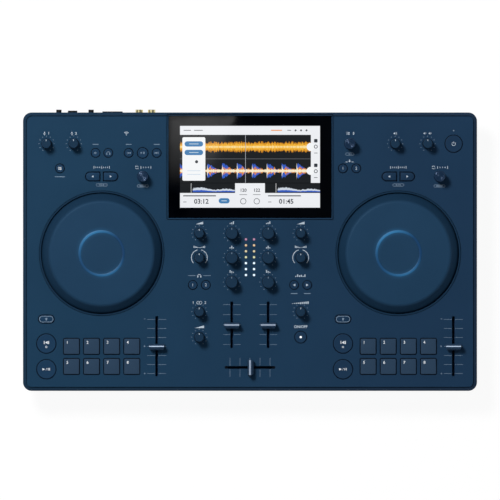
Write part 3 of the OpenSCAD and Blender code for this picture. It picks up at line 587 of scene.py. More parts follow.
steel = grained("steel", tone(176, 178, 180), 0.32, 0.5, 0.006, 0.06, **metal)
selector_metal = grained("selector_metal", tone(24, 52, 82), 0.22, 0.3, 0.003, 0.06, metallic=0.4)


def satin_navy(name, left, right, roughness, grain, depth, drift):
    """Satin navy with a very fine grain, a little greener on the left of the object than on its right."""
    tint_reach = 180
    finish = Finish(name, **navy)
    side = finish.axes()[0].between(-tint_reach, tint_reach)
    fine = finish.noise(grain, 3)
    dark = finish.mix(side, shaded(left, 1 - drift), shaded(right, 1 - drift))
    clear = finish.mix(side, shaded(left, 1 + drift), shaded(right, 1 + drift))
    gloss = uneven(uneven(roughness, fine), finish.noise(9, 2))
    return finish.feed(base_color=finish.mix(finish.noise(60, 3) * 0.6 + fine * 0.4, dark, clear),
                       roughness=gloss, normal=finish.bump(fine, depth))


panel_lacquer = satin_navy("panel_lacquer", tone(29, 59, 84), tone(30, 55, 81), 0.42, 0.35, 0.006, 0.15)
case_moulding = satin_navy("case_moulding", tone(26, 49, 70), tone(29, 46, 67), 0.5, 0.7, 0.02, 0.12)
tray_moulding = satin_navy("tray_moulding", tone(20, 37, 54), tone(21, 35, 51), 0.55, 0.9, 0.03, 0.12)
key_moulding = satin_navy("key_moulding", tone(28, 56, 83), tone(28, 51, 76), 0.48, 0.4, 0.01, 0.12)


def knob_finish():
    """Soft rubber; the wall is painted darker than the cap as painted shade."""
    finish = Finish("knob_rubber", **navy)
    top = node_box("booth_knob")[1].z
    cap = finish.axes()[2].between(top - 0.8, top - 0.1)
    fine = finish.noise(0.3, 3)
    # Painted shade: the wall's colours are darker than the cap's.
    wall = finish.mix(fine, tone(16, 32, 50), tone(22, 41, 61))
    crown = finish.mix(finish.noise(12, 2) * 0.6 + fine * 0.4, tone(24, 47, 68), tone(29, 54, 78))
    return finish.feed(base_color=finish.mix(cap, wall, crown), roughness=uneven(0.5, fine, 0.15),
                       normal=finish.bump(fine, 0.012))


def board_finish():
    """Green board with fine copper tracks under the mask."""
    finish = Finish("board_mask", roughness=0.35)
    x, y, _ = finish.axes()
    lines = ((x * 2.1).sine() * (y * 1.3).sine()).between(0.2, 0.3)
    return finish.feed(base_color=finish.mix(lines, tone(12, 58, 34), tone(26, 92, 52)),
                       normal=finish.bump(lines, 0.03))


# The cover glass and the picture in it
glass_shine = shine(0.1)
screen_dot = 0.15


def glass_finish():
    """Black cover glass with faint finger haze."""
    finish = Finish("cover_glass", **glass_shine)
    haze = finish.noise(18, 4).between(0.45, 0.8)
    colours = finish.mix(haze, tone(0, 1, 4), tone(1, 3, 8))
    return finish.feed(base_color=colours, roughness=0.035 + haze * 0.03)


def lit(name, colour):
    """Part of the picture on the screen: lit dots behind the glass."""
    finish = Finish(name, roughness=0.05, emission_strength=1.0, base_color=(0.002, 0.002, 0.003, 1.0),
                    **glass_shine)
    x, y, _ = finish.axes()
    waves = full_turn / screen_dot
    dots = (x * waves).sine() * (y * waves).sine() * 0.5 + 0.5
    share = dots * 0.6 + finish.noise(30, 2) * 0.4
    return finish.feed(emission_color=finish.mix(share, shaded(colour, 0.92), shaded(colour, 1.06)))


# The light ring in a jog wheel, and the bend of the wheel's top
ring_radius = 24.1
ring_half = 1.35
painted_spill_width = 6
bend_start, bend_end = 55.0, 59.0
turned_line = 0.9


def ring_glow(finish, x, y):
    """How strongly the light ring glows round its circle: a painted highlight in two lobes along the key
    light's bearing, the upper left one stronger, and painted shade towards the lower right.
    """
    angle = finish.maths("ARCTAN2", y, x)

    def swell(peak, count=1):
        """Highest at an angle in degrees, and again if it has more than one peak."""
        return (angle * count - math.radians(peak * count - 90)).swing()
    # Painted light: the lobes stand for a highlight, and the dips at the upper right and lower right stand
    # for shade.
    return (swell(115, 2) * 0.9 - swell(45) * 0.25 - swell(300) * 0.5).between(-0.35, 0.9)


def jog_finish(side):
    """Lacquered top with fine turned lines, a side painted darker than the top as painted shade, and
    painted light from the light ring glowing faintly on the top near it.
    """
    finish = Finish(f"jog_lacquer_{side}", emission_strength=1.0, **navy)
    x, y, _ = finish.axes(node_spot(f"jog_wheel_{side}"))
    reach = finish.maths("SQRT", x * x + y * y)
    # Painted light: the light ring's glow spills onto the lacquer round it as emission.
    near_ring = (painted_spill_width - finish.maths("ABSOLUTE", reach - ring_radius)).between(0, painted_spill_width)
    painted_ring_spill = near_ring * near_ring * ring_glow(finish, x, y)
    lines = (reach * (full_turn / turned_line)).swing()
    slow = finish.noise(50, 3)
    fine = finish.noise(0.4, 3)
    slope = reach.between(bend_start + 1, bend_end)
    top = finish.mix(slow * 0.7 + lines * 0.1 + fine * 0.2, tone(27, 55, 80), tone(35, 66, 94))
    # Painted shade: the side's colours are darker than the top's.
    wall = finish.mix(fine * 0.5 + slow * 0.5, tone(22, 48, 70), tone(27, 54, 79))
    return finish.feed(base_color=finish.mix(slope, top, wall), normal=finish.bump(fine, 0.006),
                       roughness=uneven(0.5, fine) + slope * 0.1,
                       emission_color=finish.mix(painted_ring_spill, (0, 0, 0, 1), tone(30, 74, 108)))


def ring_finish(side):
    """Light guide that glows unevenly: its brightness round the circle is a painted highlight towards the
    upper left and painted shade towards the lower right.
    """
    finish = Finish(f"ring_light_{side}", roughness=0.4, emission_strength=1.0, **shine(0.15))
    x, y, _ = finish.axes(node_spot(f"light_ring_{side}"))
    colours = finish.mix(ring_glow(finish, x, y), tone(14, 52, 88), tone(52, 120, 168))
    guide = finish.mix(finish.noise(1.2, 2), tone(8, 24, 40), tone(14, 36, 58))
    return finish.feed(base_color=guide, emission_color=colours)


# Lamp lenses, which stand a little over the panel
lens_shoulder, lens_crown = 0.1, 0.46


def lens_finish(name, edge, heart, strength=1.0):
    """A milky lamp lens, brightest at its crown."""
    finish = Finish(name, roughness=0.25, emission_strength=strength)
    heat = finish.axes()[2].between(panel_top + lens_shoulder + 0.05, panel_top + lens_crown)
    milk = finish.mix(finish.noise(0.6, 2), shaded(edge, 0.2), shaded(edge, 0.3))
    return finish.feed(base_color=milk, emission_color=finish.mix(heat, shaded(edge, 0.6), heart))


# Case and the pieces that show as the construction has them

def dress(node, finish):
    """Puts a finish on a construction node that shows as it is."""
    for slot in frame["nodes"][node].material_slots:
        slot.material = finish.material


def fine_copy(node, finish):
    """A construction node's own shape with its seams closed, so that round faces shade as round."""
    shape = bmesh.new()
    shape.from_mesh(frame["nodes"][node].data)
    bmesh.ops.remove_doubles(shape, verts=shape.verts, dist=merge_gap * MM)
    body = frame["nodes"][node]["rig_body"]
    made = piece(f"{node}_shell", shape, finish, body, (node,), crease=30, unit=1)
    made.modifiers.new("flat_faces_first", "WEIGHTED_NORMAL").keep_sharp = True


for node, finish in (
    ("top_panel", panel_lacquer), ("touch_screen", glass_finish()), ("main_board", board_finish()),
    ("board_controls", control_moulding), ("battery_pack", battery_wrap), ("case_screws", steel),
    ("jog_bases", dish_moulding),
):
    dress(node, finish)
for node, finish, slot in (
    ("bottom_case", tray_moulding, "case_plastic"), ("top_case", case_moulding, "case_plastic"),
    ("rear_panel", socket_plate_paint, "socket_plate"), ("audio_jacks", socket_moulding, "socket_black"),
    ("line_jacks", line_gold, "line_gold"), ("usb_ports", steel, "socket_black"),
    ("rubber_feet", foot_rubber, "foot_rubber"), ("rear_trim_knob_1", socket_moulding, "knob_rubber"),
    ("rear_trim_knob_2", socket_moulding, "knob_rubber"),
):
    fine_copy(node, finish)


# Jog wheels: a flat top that curves into a steep side, a light ring and a trim ring round the well
jog_steps = 160
jog_plate = 2.6
jog_wall = 2.5
jog_flat_radius = 56.5
jog_gap = 2.5
rim_inset, rim_height = 0.3, 1.0
slope_inset = 0.5
slope_tilt = math.radians(56)
slope_steps = 24
seat_depth, seat_gap, seat_bevel = 1.2, 0.1, 0.15
ring_lift, ring_shoulder, ring_crown = 0.05, 0.3, 0.12
trim_depth, trim_shoulder, trim_crown = 3.0, 0.3, 0.1
trim_near, trim_far, trim_slope = 0.45, 2.25, 0.2


def jog_slope(top, end):
    """Points down the wheel's side: it bends away from the flat top and then falls straight."""
    points = []
    height = top
    step = (end - bend_start) / slope_steps
    for index in range(slope_steps + 1):
        radius = bend_start + index * step
        points.append((radius, height))
        share = min(1, (radius + step / 2 - bend_start) / (bend_end - bend_start))
        height -= step * math.tan(slope_tilt * share)
    return points


def flat_ring(middle, inner, outer, low, shoulder, crown, slope):
    """A ring whose flat top slopes down to its two walls."""
    return turned([
        (inner, low), (outer, low), (outer, shoulder), (outer - slope, crown), (inner + slope, crown),
        (inner, shoulder),
    ], jog_steps, middle, closed=True)


def jog_wheel(side):
    """One wheel with its light ring, and the trim ring in its well."""
    node = f"jog_wheel_{side}"
    middle = node_spot(node)
    radius, low, top = node_round(node)
    inside = radius - 2 * jog_wall
    rim = radius - rim_inset
    ring_inner, ring_outer = ring_radius - ring_half, ring_radius + ring_half
    inner, outer, floor = ring_inner - seat_gap, ring_outer + seat_gap, top - seat_depth
    slope = jog_slope(top, radius - slope_inset)
    edge = slope[-1][1]
    wheel = turned([
        (0, top - jog_plate), (jog_flat_radius - jog_wall, top - jog_plate), (inside, edge - rim_height),
        (inside, low), (rim, low), (rim, edge - rim_height), (rim - 0.05, edge - 0.4), *reversed(slope),
        (outer + seat_bevel, top), (outer, top - seat_bevel), (outer, floor), (inner, floor),
        (inner, top - seat_bevel), (inner - seat_bevel, top), (0, top),
    ], jog_steps, middle)
    piece(f"jog_top_{side}", wheel, jog_finish(side), node, (node,), 30)
    ring = flat_ring(middle, ring_inner, ring_outer, floor + ring_lift, top - ring_shoulder,
                     top - ring_crown, ring_half / 2)
    piece(f"ring_{side}", ring, ring_finish(side), node, (f"light_ring_{side}",))
    well = radius + jog_gap
    # The trim ring's darker colour is partly painted shade of the jog's shadow
    trim = flat_ring(middle, well - trim_far, well - trim_near, panel_top - trim_depth,
                     panel_top - trim_shoulder, panel_top - trim_crown, trim_slope)
    piece(f"well_trim_{side}", trim, trim_moulding)


for side in deck_sides:
    jog_wheel(side)


# Knobs and selectors
shaft_radius = 2.5
skirt_height, skirt_edge = 2.2, 0.2
cap_sink = 0.18
flute_columns = 48
knob_flute, selector_flute = 0.28, 0.4
pointer_start, pointer_end, pointer_width, pointer_depth = 2.3, 0.4, 0.65, 0.2
small_draw_in, tone_draw_in = 1.0, 0.7
cut_pitch, cut_rows, cut_depth = 0.8, 4, 0.1
small_knobs = ("mic_1_knob", "mic_2_knob", "booth_knob", "master_knob", "trim_knob_1", "trim_knob_2",
               "filter_knob_1", "filter_knob_2", "headphone_mix_knob", "headphone_level_knob",
               "effect_depth_knob")
tone_knobs = [f"{band}_knob_{channel}" for band in ("high", "middle", "low") for channel in channels]
knob_rubber = knob_finish()


def flute(shape, middle, low, high, depth):
    """Presses every other column of a turned wall inwards between two heights."""
    for vert in shape.verts:
        if low < vert.co.z < high:
            out = Vector((vert.co.x - middle[0], vert.co.y - middle[1], 0))
            column = round(math.atan2(out.y, out.x) / full_turn * flute_columns)
            if column % 2:
                vert.co -= out.normalized() * depth


def knob(node, draw_in, ink):
    """A tapered rubber knob with a fluted wall, a raised cap and a pale pointer."""
    middle = node_spot(node)
    foot, low, top = node_round(node)
    crown = foot - draw_in
    wall = knob_foot + skirt_height
    body = turned([
        (0, low), (shaft_radius, low), (shaft_radius, knob_foot), (foot - skirt_edge, knob_foot),
        (foot, knob_foot + skirt_edge), (foot, wall - 0.25), (foot - 0.25, wall),
        (foot - 0.55, wall + 0.2), (foot - 0.6, wall + 0.8), (crown + 0.05, top - 1.2), (crown, top - 0.6),
        (crown - 0.18, top - 0.2), (crown - 0.6, top - 0.05), (crown - 0.9, top - 0.05),
        (crown - 1.0, top - cap_sink), (0, top - cap_sink),
    ], flute_columns, middle)
    flute(body, middle, wall + 0.5, top - 0.9, knob_flute)
    piece(f"{node}_grip", body, knob_rubber, node, (node,))
    pointer = Marks(top - pointer_depth, pointer_depth)
    start, end = [node_spot(node, 0, crown - inset) for inset in (pointer_start, pointer_end)]
    pointer.bar(start, end, pointer_width)
    pointer.done(f"{node}_pointer", ink, "knob_rubber", node)


def selector(node):
    """A turned metal selector: fluted wall and a top with fine concentric grooves."""
    middle = node_spot(node)
    radius, low, top = node_round(node)
    grooves = []
    for index in range(int((radius - 1.2) / cut_pitch) * cut_rows, 0, -1):
        wave = math.cos(full_turn * index / cut_rows)
        grooves.append((index * cut_pitch / cut_rows, top - cut_depth * (1 - wave) / 2))
    body = turned([
        (0, low), (shaft_radius, low), (shaft_radius, knob_foot), (radius - 0.3, knob_foot),
        (radius, knob_foot + 0.3), (radius, knob_foot + 1.2), (radius - 0.15, knob_foot + 1.8),
        (radius - 0.15, top - 1.6), (radius - 0.2, top - 1.1), (radius - 0.9, top - 0.1), *grooves,
        (0, top - cut_depth / 2),
    ], flute_columns, middle)
    flute(body, middle, knob_foot + 1.5, top - 1.3, selector_flute)
    piece(f"{node}_turning", body, selector_metal, node, (node,), 60)


for node in small_knobs:
    knob(node, small_draw_in, print_ink)
for node in tone_knobs:
    knob(node, tone_draw_in, faint_ink)
for node in ("browse_selector", "loop_selector_left", "loop_selector_right"):
    selector(node)


# Fader caps: a crest at the back with a pale line along it, and a front that rounds down and narrows
crest_off_front = 5.6
cap_back = 2.6
crest_front, crest_back = -0.9, 1.4
cap_skirt = 2.4
cap_round = 0.45
front_reach = 3.4
front_wall = 1.5
front_steps = 6
front_draw_in = 0.16
lever_width, lever_length = 1.2, 4.0
line_depth, line_rise, line_end = 0.02, 0.04, 0.4


def fader_spot(node, across=False):
    """The place of a fader's crest; across is True where the fader runs sideways."""
    low, high = node_box(node)
    x, y = node_spot(node)
    return (high.x - crest_off_front, y) if across else (x, low.y + crest_off_front)


def fader_wedge(width, top):
    """The cap over the panel, with its crest at the origin."""
    fall = top - knob_foot - front_wall
    section = [(crest_front - front_reach, knob_foot), (cap_back, knob_foot),
               (cap_back, knob_foot + cap_skirt), (crest_back, top)]
    for step in range(front_steps + 1):
        angle = math.pi / 2 * step / front_steps
        section.append((crest_front - front_reach * math.sin(angle), top - fall * (1 - math.cos(angle))))
    wedge = bmesh.new()
    wedge.faces.new([wedge.verts.new((-width / 2, y, z)) for y, z in section])
    extruded(wedge, (width, 0, 0))
    bmesh.ops.bisect_plane(wedge, geom=[*wedge.verts, *wedge.edges, *wedge.faces],
                           plane_co=(0, crest_front, 0), plane_no=(0, 1, 0))
    for vert in wedge.verts:
        vert.co.x *= 1 - front_draw_in * max(0, crest_front - vert.co.y) / front_reach
    soften(wedge, cap_round)
    return wedge


def fader(node, line_width, ink, across=False):
    """One cap on its lever, with its line."""
    low, high = node_box(node)
    width = high.y - low.y if across else high.x - low.x
    lever = upright(outline(lever_width, lever_length), (0, 0), low.z, knob_foot + cap_skirt)
    cap = joined(fader_wedge(width, high.z), lever)
    line = Marks(high.z - line_depth, line_rise)
    line.plate((0, 0), width - 2 * line_end, line_width)
    turn = Matrix.Rotation(math.pi / 2 if across else 0, 4, "Z")
    place = Matrix.Translation((*fader_spot(node, across), 0)) @ turn
    bmesh.ops.transform(cap, matrix=place, verts=cap.verts)
    piece(f"{node}_cap", cap, fader_moulding, node, (node,))
    line.done(f"{node}_line", ink, "fader_plastic", node, place)


for side in deck_sides:
    fader(f"tempo_fader_{side}", 1.0, tempo_ink)
for channel in channels:
    fader(f"channel_fader_{channel}", 1.6, line_ink)
fader("crossfader", 1.8, line_ink, across=True)


# Keys and pads, each with a dark ring of painted shade round it in its gap
flange, flange_height = 1.2, 1.2
key_inset, key_edge = 0.35, 0.5
gap_shade_reach, gap_shade_line, gap_shade_overlap = 0.35, 0.65, 0.05
jump_size = Vector((16.2, 10.0))
jump_space, jump_corner = 3.5, 0.8
jump_inset, jump_gap_shade = 0.6, 0.1
pad_side, pad_corner, pad_edge, pad_gap_shade = 16.8, 1.2, 0.7, 0.95
pad_columns, pad_rows = 4, 2
pad_numeral, pad_weight = 3.1, 0.012
key_numeral, key_weight = 3.1, 0.0
legend_depth, legend_rise = 0.005, 0.03
shift_frame_inset = 1.1
gap_shade_marks = Marks(panel_top)


def round_key(node, middle, radius):
    """A round key with a dished top and its flange under the panel."""
    _, low, top = node_round(node)
    shelf = low + flange_height
    # A dark ring of painted shade round the key's gap
    gap_shade_marks.border(disc(radius + gap_shade_reach), middle, gap_shade_line)
    radius -= key_inset
    return turned([
        (0, low), (radius + flange, low), (radius + flange, shelf), (radius, shelf),
        (radius, top - 0.45), (radius - 0.12, top - 0.15), (radius - 0.45, top),
        (radius - 0.8, top - 0.02), (radius * 0.5, top - 0.16), (0, top - 0.2),
    ], 48, middle)


def shaped_key(node, flat, middle, edge=key_edge, inset=key_inset, reach=gap_shade_reach):
    """A key with a straight wall and a soft top edge; flat(grow) draws its outline, wider by grow."""
    low, high = node_box(node)
    body = upright(flat(-inset), middle, low.z + flange_height / 2, high.z)
    soften(body, edge, above=high.z - 0.1)
    foot = upright(flat(flange), middle, low.z, low.z + flange_height)
    # A dark ring of painted shade round the key's gap
    gap_shade_marks.border(flat(reach), middle, inset + reach - gap_shade_overlap)
    return joined(foot, body)


def half_pill(end, grow):
    """A jump key's outline: round at its outer end and nearly square at the other."""
    width, depth = jump_size.x + 2 * grow, jump_size.y + 2 * grow
    flat = outline(width, depth)
    rounded(flat, [vert for vert in flat.verts if vert.co.x * end > 0], depth / 2 - arc_gap, 12)
    inner = [vert for vert in flat.verts if vert.co.x * end < arc_gap - width / 2]
    return rounded(flat, inner, jump_corner, 3)


def legends(node):
    """Flat legends that lie on the tops of keys."""
    return Marks(node_box(node)[1].z - legend_depth, legend_rise)


def legend(name, node, ink, draw, *details):
    """One icon on a key that is a node of its own."""
    marks = legends(node)
    marks.icon(draw, node_spot(node), 1, *details)
    marks.done(name, ink, "key_plastic", node)


def lone_round_key(node):
    """A round key that is a node of its own."""
    shape = round_key(node, node_spot(node), node_round(node)[0] - flange)
    piece(f"{node}_cap", shape, key_moulding, node, (node,))


def shift_key(side):
    """The pill-shaped shift key."""
    node = f"shift_key_{side}"
    low, high = node_box(node)
    width, depth = high.x - low.x - 2 * flange, high.y - low.y - 2 * flange
    shape = shaped_key(node, lambda grow: pill(width + 2 * grow, depth + 2 * grow), node_spot(node))
    piece(f"{node}_cap", shape, key_moulding, node, (node,))
    legend(f"shift_legend_{side}", node, faint_ink, shift_icon, width - 2 * shift_frame_inset,
           depth - 2 * shift_frame_inset)


def jump_keys(side):
    """Two half pills that face each other."""
    node = f"jump_keys_{side}"
    x, y = node_spot(node)
    marks = legends(node)
    shapes = []
    for end in both_ends:
        middle = (x + end * (jump_size.x + jump_space) / 2, y)
        shapes.append(shaped_key(node, lambda grow, end=end: half_pill(end, grow), middle,
                                 inset=jump_inset, reach=jump_gap_shade))
        marks.arrow((middle[0] + end * 1.3, y), 2.2, 1.15, level_turn[end])
    piece(f"{node}_caps", joined(*shapes), key_moulding, node, (node,))
    marks.done(f"jump_legends_{side}", print_ink, "key_plastic", node)


def pad_outline(grow):
    """A pad's outline, wider by grow all round."""
    return outline(pad_side + 2 * grow, pad_side + 2 * grow, pad_corner + grow)


def pads(side):
    """Eight soft square pads with numbers."""
    node = f"pads_{side}"
    low, high = node_box(node)
    middle = node_spot(node)
    pitch = (high.x - low.x - 2 * flange - pad_side) / (pad_columns - 1)
    numbers = legends(node)
    shapes = []
    for index in range(pad_columns * pad_rows):
        column, row = index % pad_columns, index // pad_columns
        x = middle[0] + (column - (pad_columns - 1) / 2) * pitch
        y = middle[1] - (row - (pad_rows - 1) / 2) * pitch
        shapes.append(shaped_key(node, pad_outline, (x, y), pad_edge, 0, pad_gap_shade))
        numbers.numerals(str(index + 1), (x - 4.5, y + 4.3), pad_numeral, pad_weight)
    piece(f"{node}_caps", joined(*shapes), pad_silicone, node, (node,))
    numbers.done(f"pad_numbers_{side}", bright_ink, "pad_rubber", node)


for side in deck_sides:
    lone_round_key(f"cue_key_{side}")
    lone_round_key(f"play_key_{side}")
    legend(f"cue_legend_{side}", f"cue_key_{side}", bright_ink, cue_icon)
    legend(f"play_legend_{side}", f"play_key_{side}", bright_ink, play_icon)
    shift_key(side)
    jump_keys(side)
    pads(side)


# Function keys round the screen and in the mixer
top_row, second_row, mixer_row = 108.5, 91.5, -36.6
source_keys = ((-169.7, top_row), (-155.7, top_row))
wireless_keys = ((-133.3, top_row), (-117.9, top_row), (-102.5, top_row))
playlist_key = (-208.9, second_row)
load_keys = ((102.1, second_row), (116.8, second_row))
headphone_keys = ((-62.9, mixer_row), (-48.5, mixer_row))
effect_select_keys = ((48.5, mixer_row), (62.9, mixer_row))
small_radius, large_radius = 4.9, 5.9


def key_group(name, node, keys):
    """Small round keys that share a node; the middle one of the wireless keys is larger."""
    shapes = []
    for middle in keys:
        radius = large_radius if middle == wireless_keys[1] else small_radius
        shapes.append(round_key(node, middle, radius))
    piece(name, joined(*shapes), key_moulding, node, (node,))


key_group("left_function_caps", "left_function_keys", (*source_keys, *wireless_keys, playlist_key))
key_group("mixer_key_caps", "mixer_keys", (*load_keys, *headphone_keys, *effect_select_keys))
lone_round_key("power_key")
lone_round_key("effect_key")


# More painted shade: dark plates at both ends of the crossfader's slot for a recess, and a dark line round
# the glass for a groove
recess_start, recess_end, recess_width, recess_corner = 24.55, 27.8, 2.8, 0.9
groove_off, groove_corner, groove_width = 2.0, 1.5, 0.6
glass_low, glass_high = node_box("touch_screen")
glass_middle = node_spot("touch_screen")

for end in both_ends:
    middle = (end * (recess_start + recess_end) / 2, node_spot("crossfader")[1])
    gap_shade_marks.plate(middle, recess_end - recess_start, recess_width, recess_corner)
groove_size = glass_high - glass_low + Vector((2, 2, 0)) * groove_off
gap_shade_marks.border(outline(*groove_size.xy, groove_corner), glass_middle, groove_width)
gap_shade_marks.done("panel_gap_shade", painted_gap_shade, "panel_finish")


# Legends of the function keys
left_legends = legends("left_function_keys")
left_legends.icon(speaker_icon, source_keys[0], 3.4, 1)
left_legends.icon(headphone_icon, source_keys[1], 4.0)
for end, middle in zip(both_ends, (wireless_keys[0], wireless_keys[2])):
    left_legends.icon(skip_icon, middle, 1, end)
left_legends.icon(small_play_icon, wireless_keys[1], 1)
left_legends.done("left_function_legends", faint_ink, "key_plastic", "left_function_keys")
list_legend = legends("left_function_keys")
list_legend.icon(list_icon, playlist_key, 3.6)
list_legend.done("playlist_legend", bright_ink, "key_plastic", "left_function_keys")

mixer_legends = legends("mixer_keys")
for keys in (load_keys, headphone_keys):
    for channel, middle in zip(channels, keys):
        mixer_legends.numerals(str(channel), middle, key_numeral, key_weight)
for end, (x, y) in zip(both_ends, effect_select_keys):
    mixer_legends.arrow((x + end * 1.3, y), 2.6, 1.5, level_turn[end])
mixer_legends.done("mixer_legends", print_ink, "key_plastic", "mixer_keys")

legend("power_legend", "power_key", print_ink, power_icon)
effect_glow = lens_finish("effect_glow", tone(236, 242, 248), tone(255, 255, 255))
effect_lamp = legends("effect_key")
effect_lamp.dot(node_spot("effect_key"), 1.2, 28)
effect_lamp.done("effect_lamp", effect_glow, "indicator_lens", "effect_key")


# Level meter and the power light
meter_x, meter_top, meter_pitch = 4.45, 13.5, 6.53
meter_radius, power_light_radius = 1.4, 0.8
power_light_y = 133.0
lens_depth = 2
meter_colours = (
    ("red", 1, tone(150, 80, 112), tone(172, 136, 164)),
    ("amber", 1, tone(192, 142, 84), tone(208, 190, 156)),
    ("yellow", 1, tone(188, 164, 100), tone(204, 198, 172)),
    ("lime", 1, tone(172, 174, 106), tone(206, 210, 180)),
    ("white", 3, tone(178, 204, 226), tone(232, 247, 255)),
)


def lens(x, y, radius):
    """A small domed lens in the panel."""
    foot = panel_top - lens_depth
    return turned([
        (0, foot), (radius, foot), (radius, panel_top + lens_shoulder), (radius * 0.86, panel_top + 0.3),
        (radius * 0.5, panel_top + lens_crown), (0, panel_top + 0.5),
    ], 24, (x, y))


def lamps(name, lenses, finish):
    """Lenses of one colour."""
    piece(name, joined(*lenses), finish, "case", ("indicator_lights",))


level = meter_top
for colour, count, edge, heart in meter_colours:
    lenses = []
    for _ in range(count):
        lenses.extend(lens(end * meter_x, level, meter_radius) for end in both_ends)
        level -= meter_pitch
    lamps(f"meter_{colour}", lenses, lens_finish(f"meter_{colour}", edge, heart))
power_lens = lens(node_spot("power_key")[0], power_light_y, power_light_radius)
power_glow = lens_finish("power_glow", tone(96, 120, 146), tone(150, 170, 190), 0.6)
lamps("power_light", [power_lens], power_glow)


# Print on the panel, in a clear and a fainter ink
label_up, deck_label_up, wedge_up = 11.4, 10.0, 11.35
icon_size, numeral_size = 3.4, 2.7
box_width, box_depth, box_line, box_arrow = 12.5, 3.0, 0.4, 0.9
jump_box, loop_box = -9.3, -10.4
tempo_signs, tempo_reach = 13.2, 30
wedge_depth = 2.9
scale_dots, scale_sweep, scale_dot = 11, 300, 0.42
tick_opening = 1.9
tone_bars = {"high": (1.0, 1.7, 2.9), "middle": (1.2, 2.9, 1.2), "low": (2.9, 1.7, 1.0)}
filter_bars = (2.4, 1.9, 1.4, 0.9, 0.5, 0.9, 1.4, 1.9, 2.4)
effect_bars = (1.0, 2.8, 1.6, 2.2, 1.0, 2.6)
depth_bars = [0.5 + 0.27 * index for index in range(9)]
small_scale, tone_scale = 8.3, 9.2
labels = Marks(panel_top)
faint = Marks(panel_top)


def scale(node, reach):
    """A ring of small dots round a knob, open towards the front."""
    for index in range(scale_dots):
        way = ahead(90 + scale_sweep / 2 - index * scale_sweep / (scale_dots - 1))
        faint.dot(Vector(node_spot(node)) + way * reach, scale_dot, 10)


def ticks(node, count, pitch, length, width, rearward=0.0, across=False):
    """Cross lines beside a fader slot, left open over the slot itself."""
    x, y = fader_spot(node, across)
    for index in range(count):
        step = (index - (count - 1) / 2) * pitch
        for end in both_ends:
            near, far = end * tick_opening, end * length / 2
            if across:
                faint.bar((x + step, y + near), (x + step, y + far), width)
            else:
                faint.bar((x + near, y + step + rearward), (x + far, y + step + rearward), width)


def print_upper_knobs():
    """Microphone, booth, master and browse."""
    for number in channels:
        node = f"mic_{number}_knob"
        labels.icon(microphone_icon, node_spot(node, -2.2, label_up), icon_size)
        labels.numerals(str(number), node_spot(node, 2.4, label_up), numeral_size)
    labels.icon(speaker_icon, node_spot("booth_knob", 0, label_up), icon_size)
    for step in (-2.8, 3.0):
        labels.icon(speaker_icon, node_spot("master_knob", step, label_up), icon_size, 1)
    node = "browse_selector"
    labels.icon(list_icon, node_spot(node, -1.8, label_up), icon_size)
    for end in both_ends:
        labels.arrow(node_spot(node, 4.2, label_up + end * 1.7), 1.4, 1.2, end * 90)
    faint.frame(node_spot(node, 0, -label_up), 9.5, box_depth, box_line)
    tail = node_spot(node, -1.6, -label_up)
    faint.arrow(tail, 1.5, box_arrow, 180)
    faint.bar(tail, node_spot(node, 2.2, -label_up), 0.45)


def print_function_keys():
    """Load, wireless, source and playlist."""
    x, y = (load_keys[0][0] + load_keys[1][0]) / 2, second_row + 6.7
    labels.arrow((x, y), 1.6, 1.5, 270)
    labels.plate((x, y + 2.3), 0.9, 1.4)
    for end in both_ends:
        labels.plate((x + end * 3.3, y + 0.35), 2.2, 0.7)
    labels.icon(radio_icon, (wireless_keys[1][0] - 18, top_row + 21.3), 3.8)
    for x, y in (source_keys[0], wireless_keys[0], wireless_keys[2]):
        faint.plate((x, y + 9.45), 6.4, 0.7)
    faint.plate((playlist_key[0], second_row - 9.15), 11, 0.7)


def print_deck(side):
    """Jump keys, loop selector and tempo fader of one deck."""
    jump, loop, tempo = f"jump_keys_{side}", f"loop_selector_{side}", f"tempo_fader_{side}"
    labels.beats(node_spot(jump, 0, deck_label_up), 17, 9)
    faint.frame(node_spot(jump, 0, jump_box), box_width, box_depth, box_line)
    for end in both_ends:
        for reach in (3.0, 1.1):
            faint.arrow(node_spot(jump, end * reach, jump_box), 1.6, box_arrow, level_turn[end])
    labels.icon(loop_icon, node_spot(loop, -6.5, deck_label_up), 3.8)
    labels.beats(node_spot(loop, 3.4, deck_label_up), 11, 5)
    faint.frame(node_spot(loop, 0, loop_box), box_width, box_depth, box_line)
    faint.plate(node_spot(loop, 0, loop_box), 7.2, 1.0)
    ticks(tempo, 7, 9.9, 20.8, 0.32, -0.3)
    x, y = fader_spot(tempo)
    x -= tempo_signs
    faint.arrow((x + 0.9, y), 1.7, 1.0)
    for end in both_ends:
        faint.plate((x, y + end * tempo_reach), 1.8, 0.5)
    faint.plate((x, y - tempo_reach), 0.5, 1.8)


def print_channel(channel):
    """Trim, filter, tone knobs and fader of one channel."""
    labels.wedge(node_spot(f"trim_knob_{channel}", 0, wedge_up), 8.4, wedge_depth)
    node = f"filter_knob_{channel}"
    labels.bars(node_spot(node, 0.3, 10.7), 13.2, filter_bars)
    for end in both_ends:
        labels.arc(node_spot(node), 8.75, 0.75, 90 - end * 14, 90 - end * 132, 28)
    for band, heights in tone_bars.items():
        labels.bars(node_spot(f"{band}_knob_{channel}", 0.3, 10.2), 5.4, heights)
    ticks(f"channel_fader_{channel}", 5, 10.95, 19.2, 0.29, 0.3)


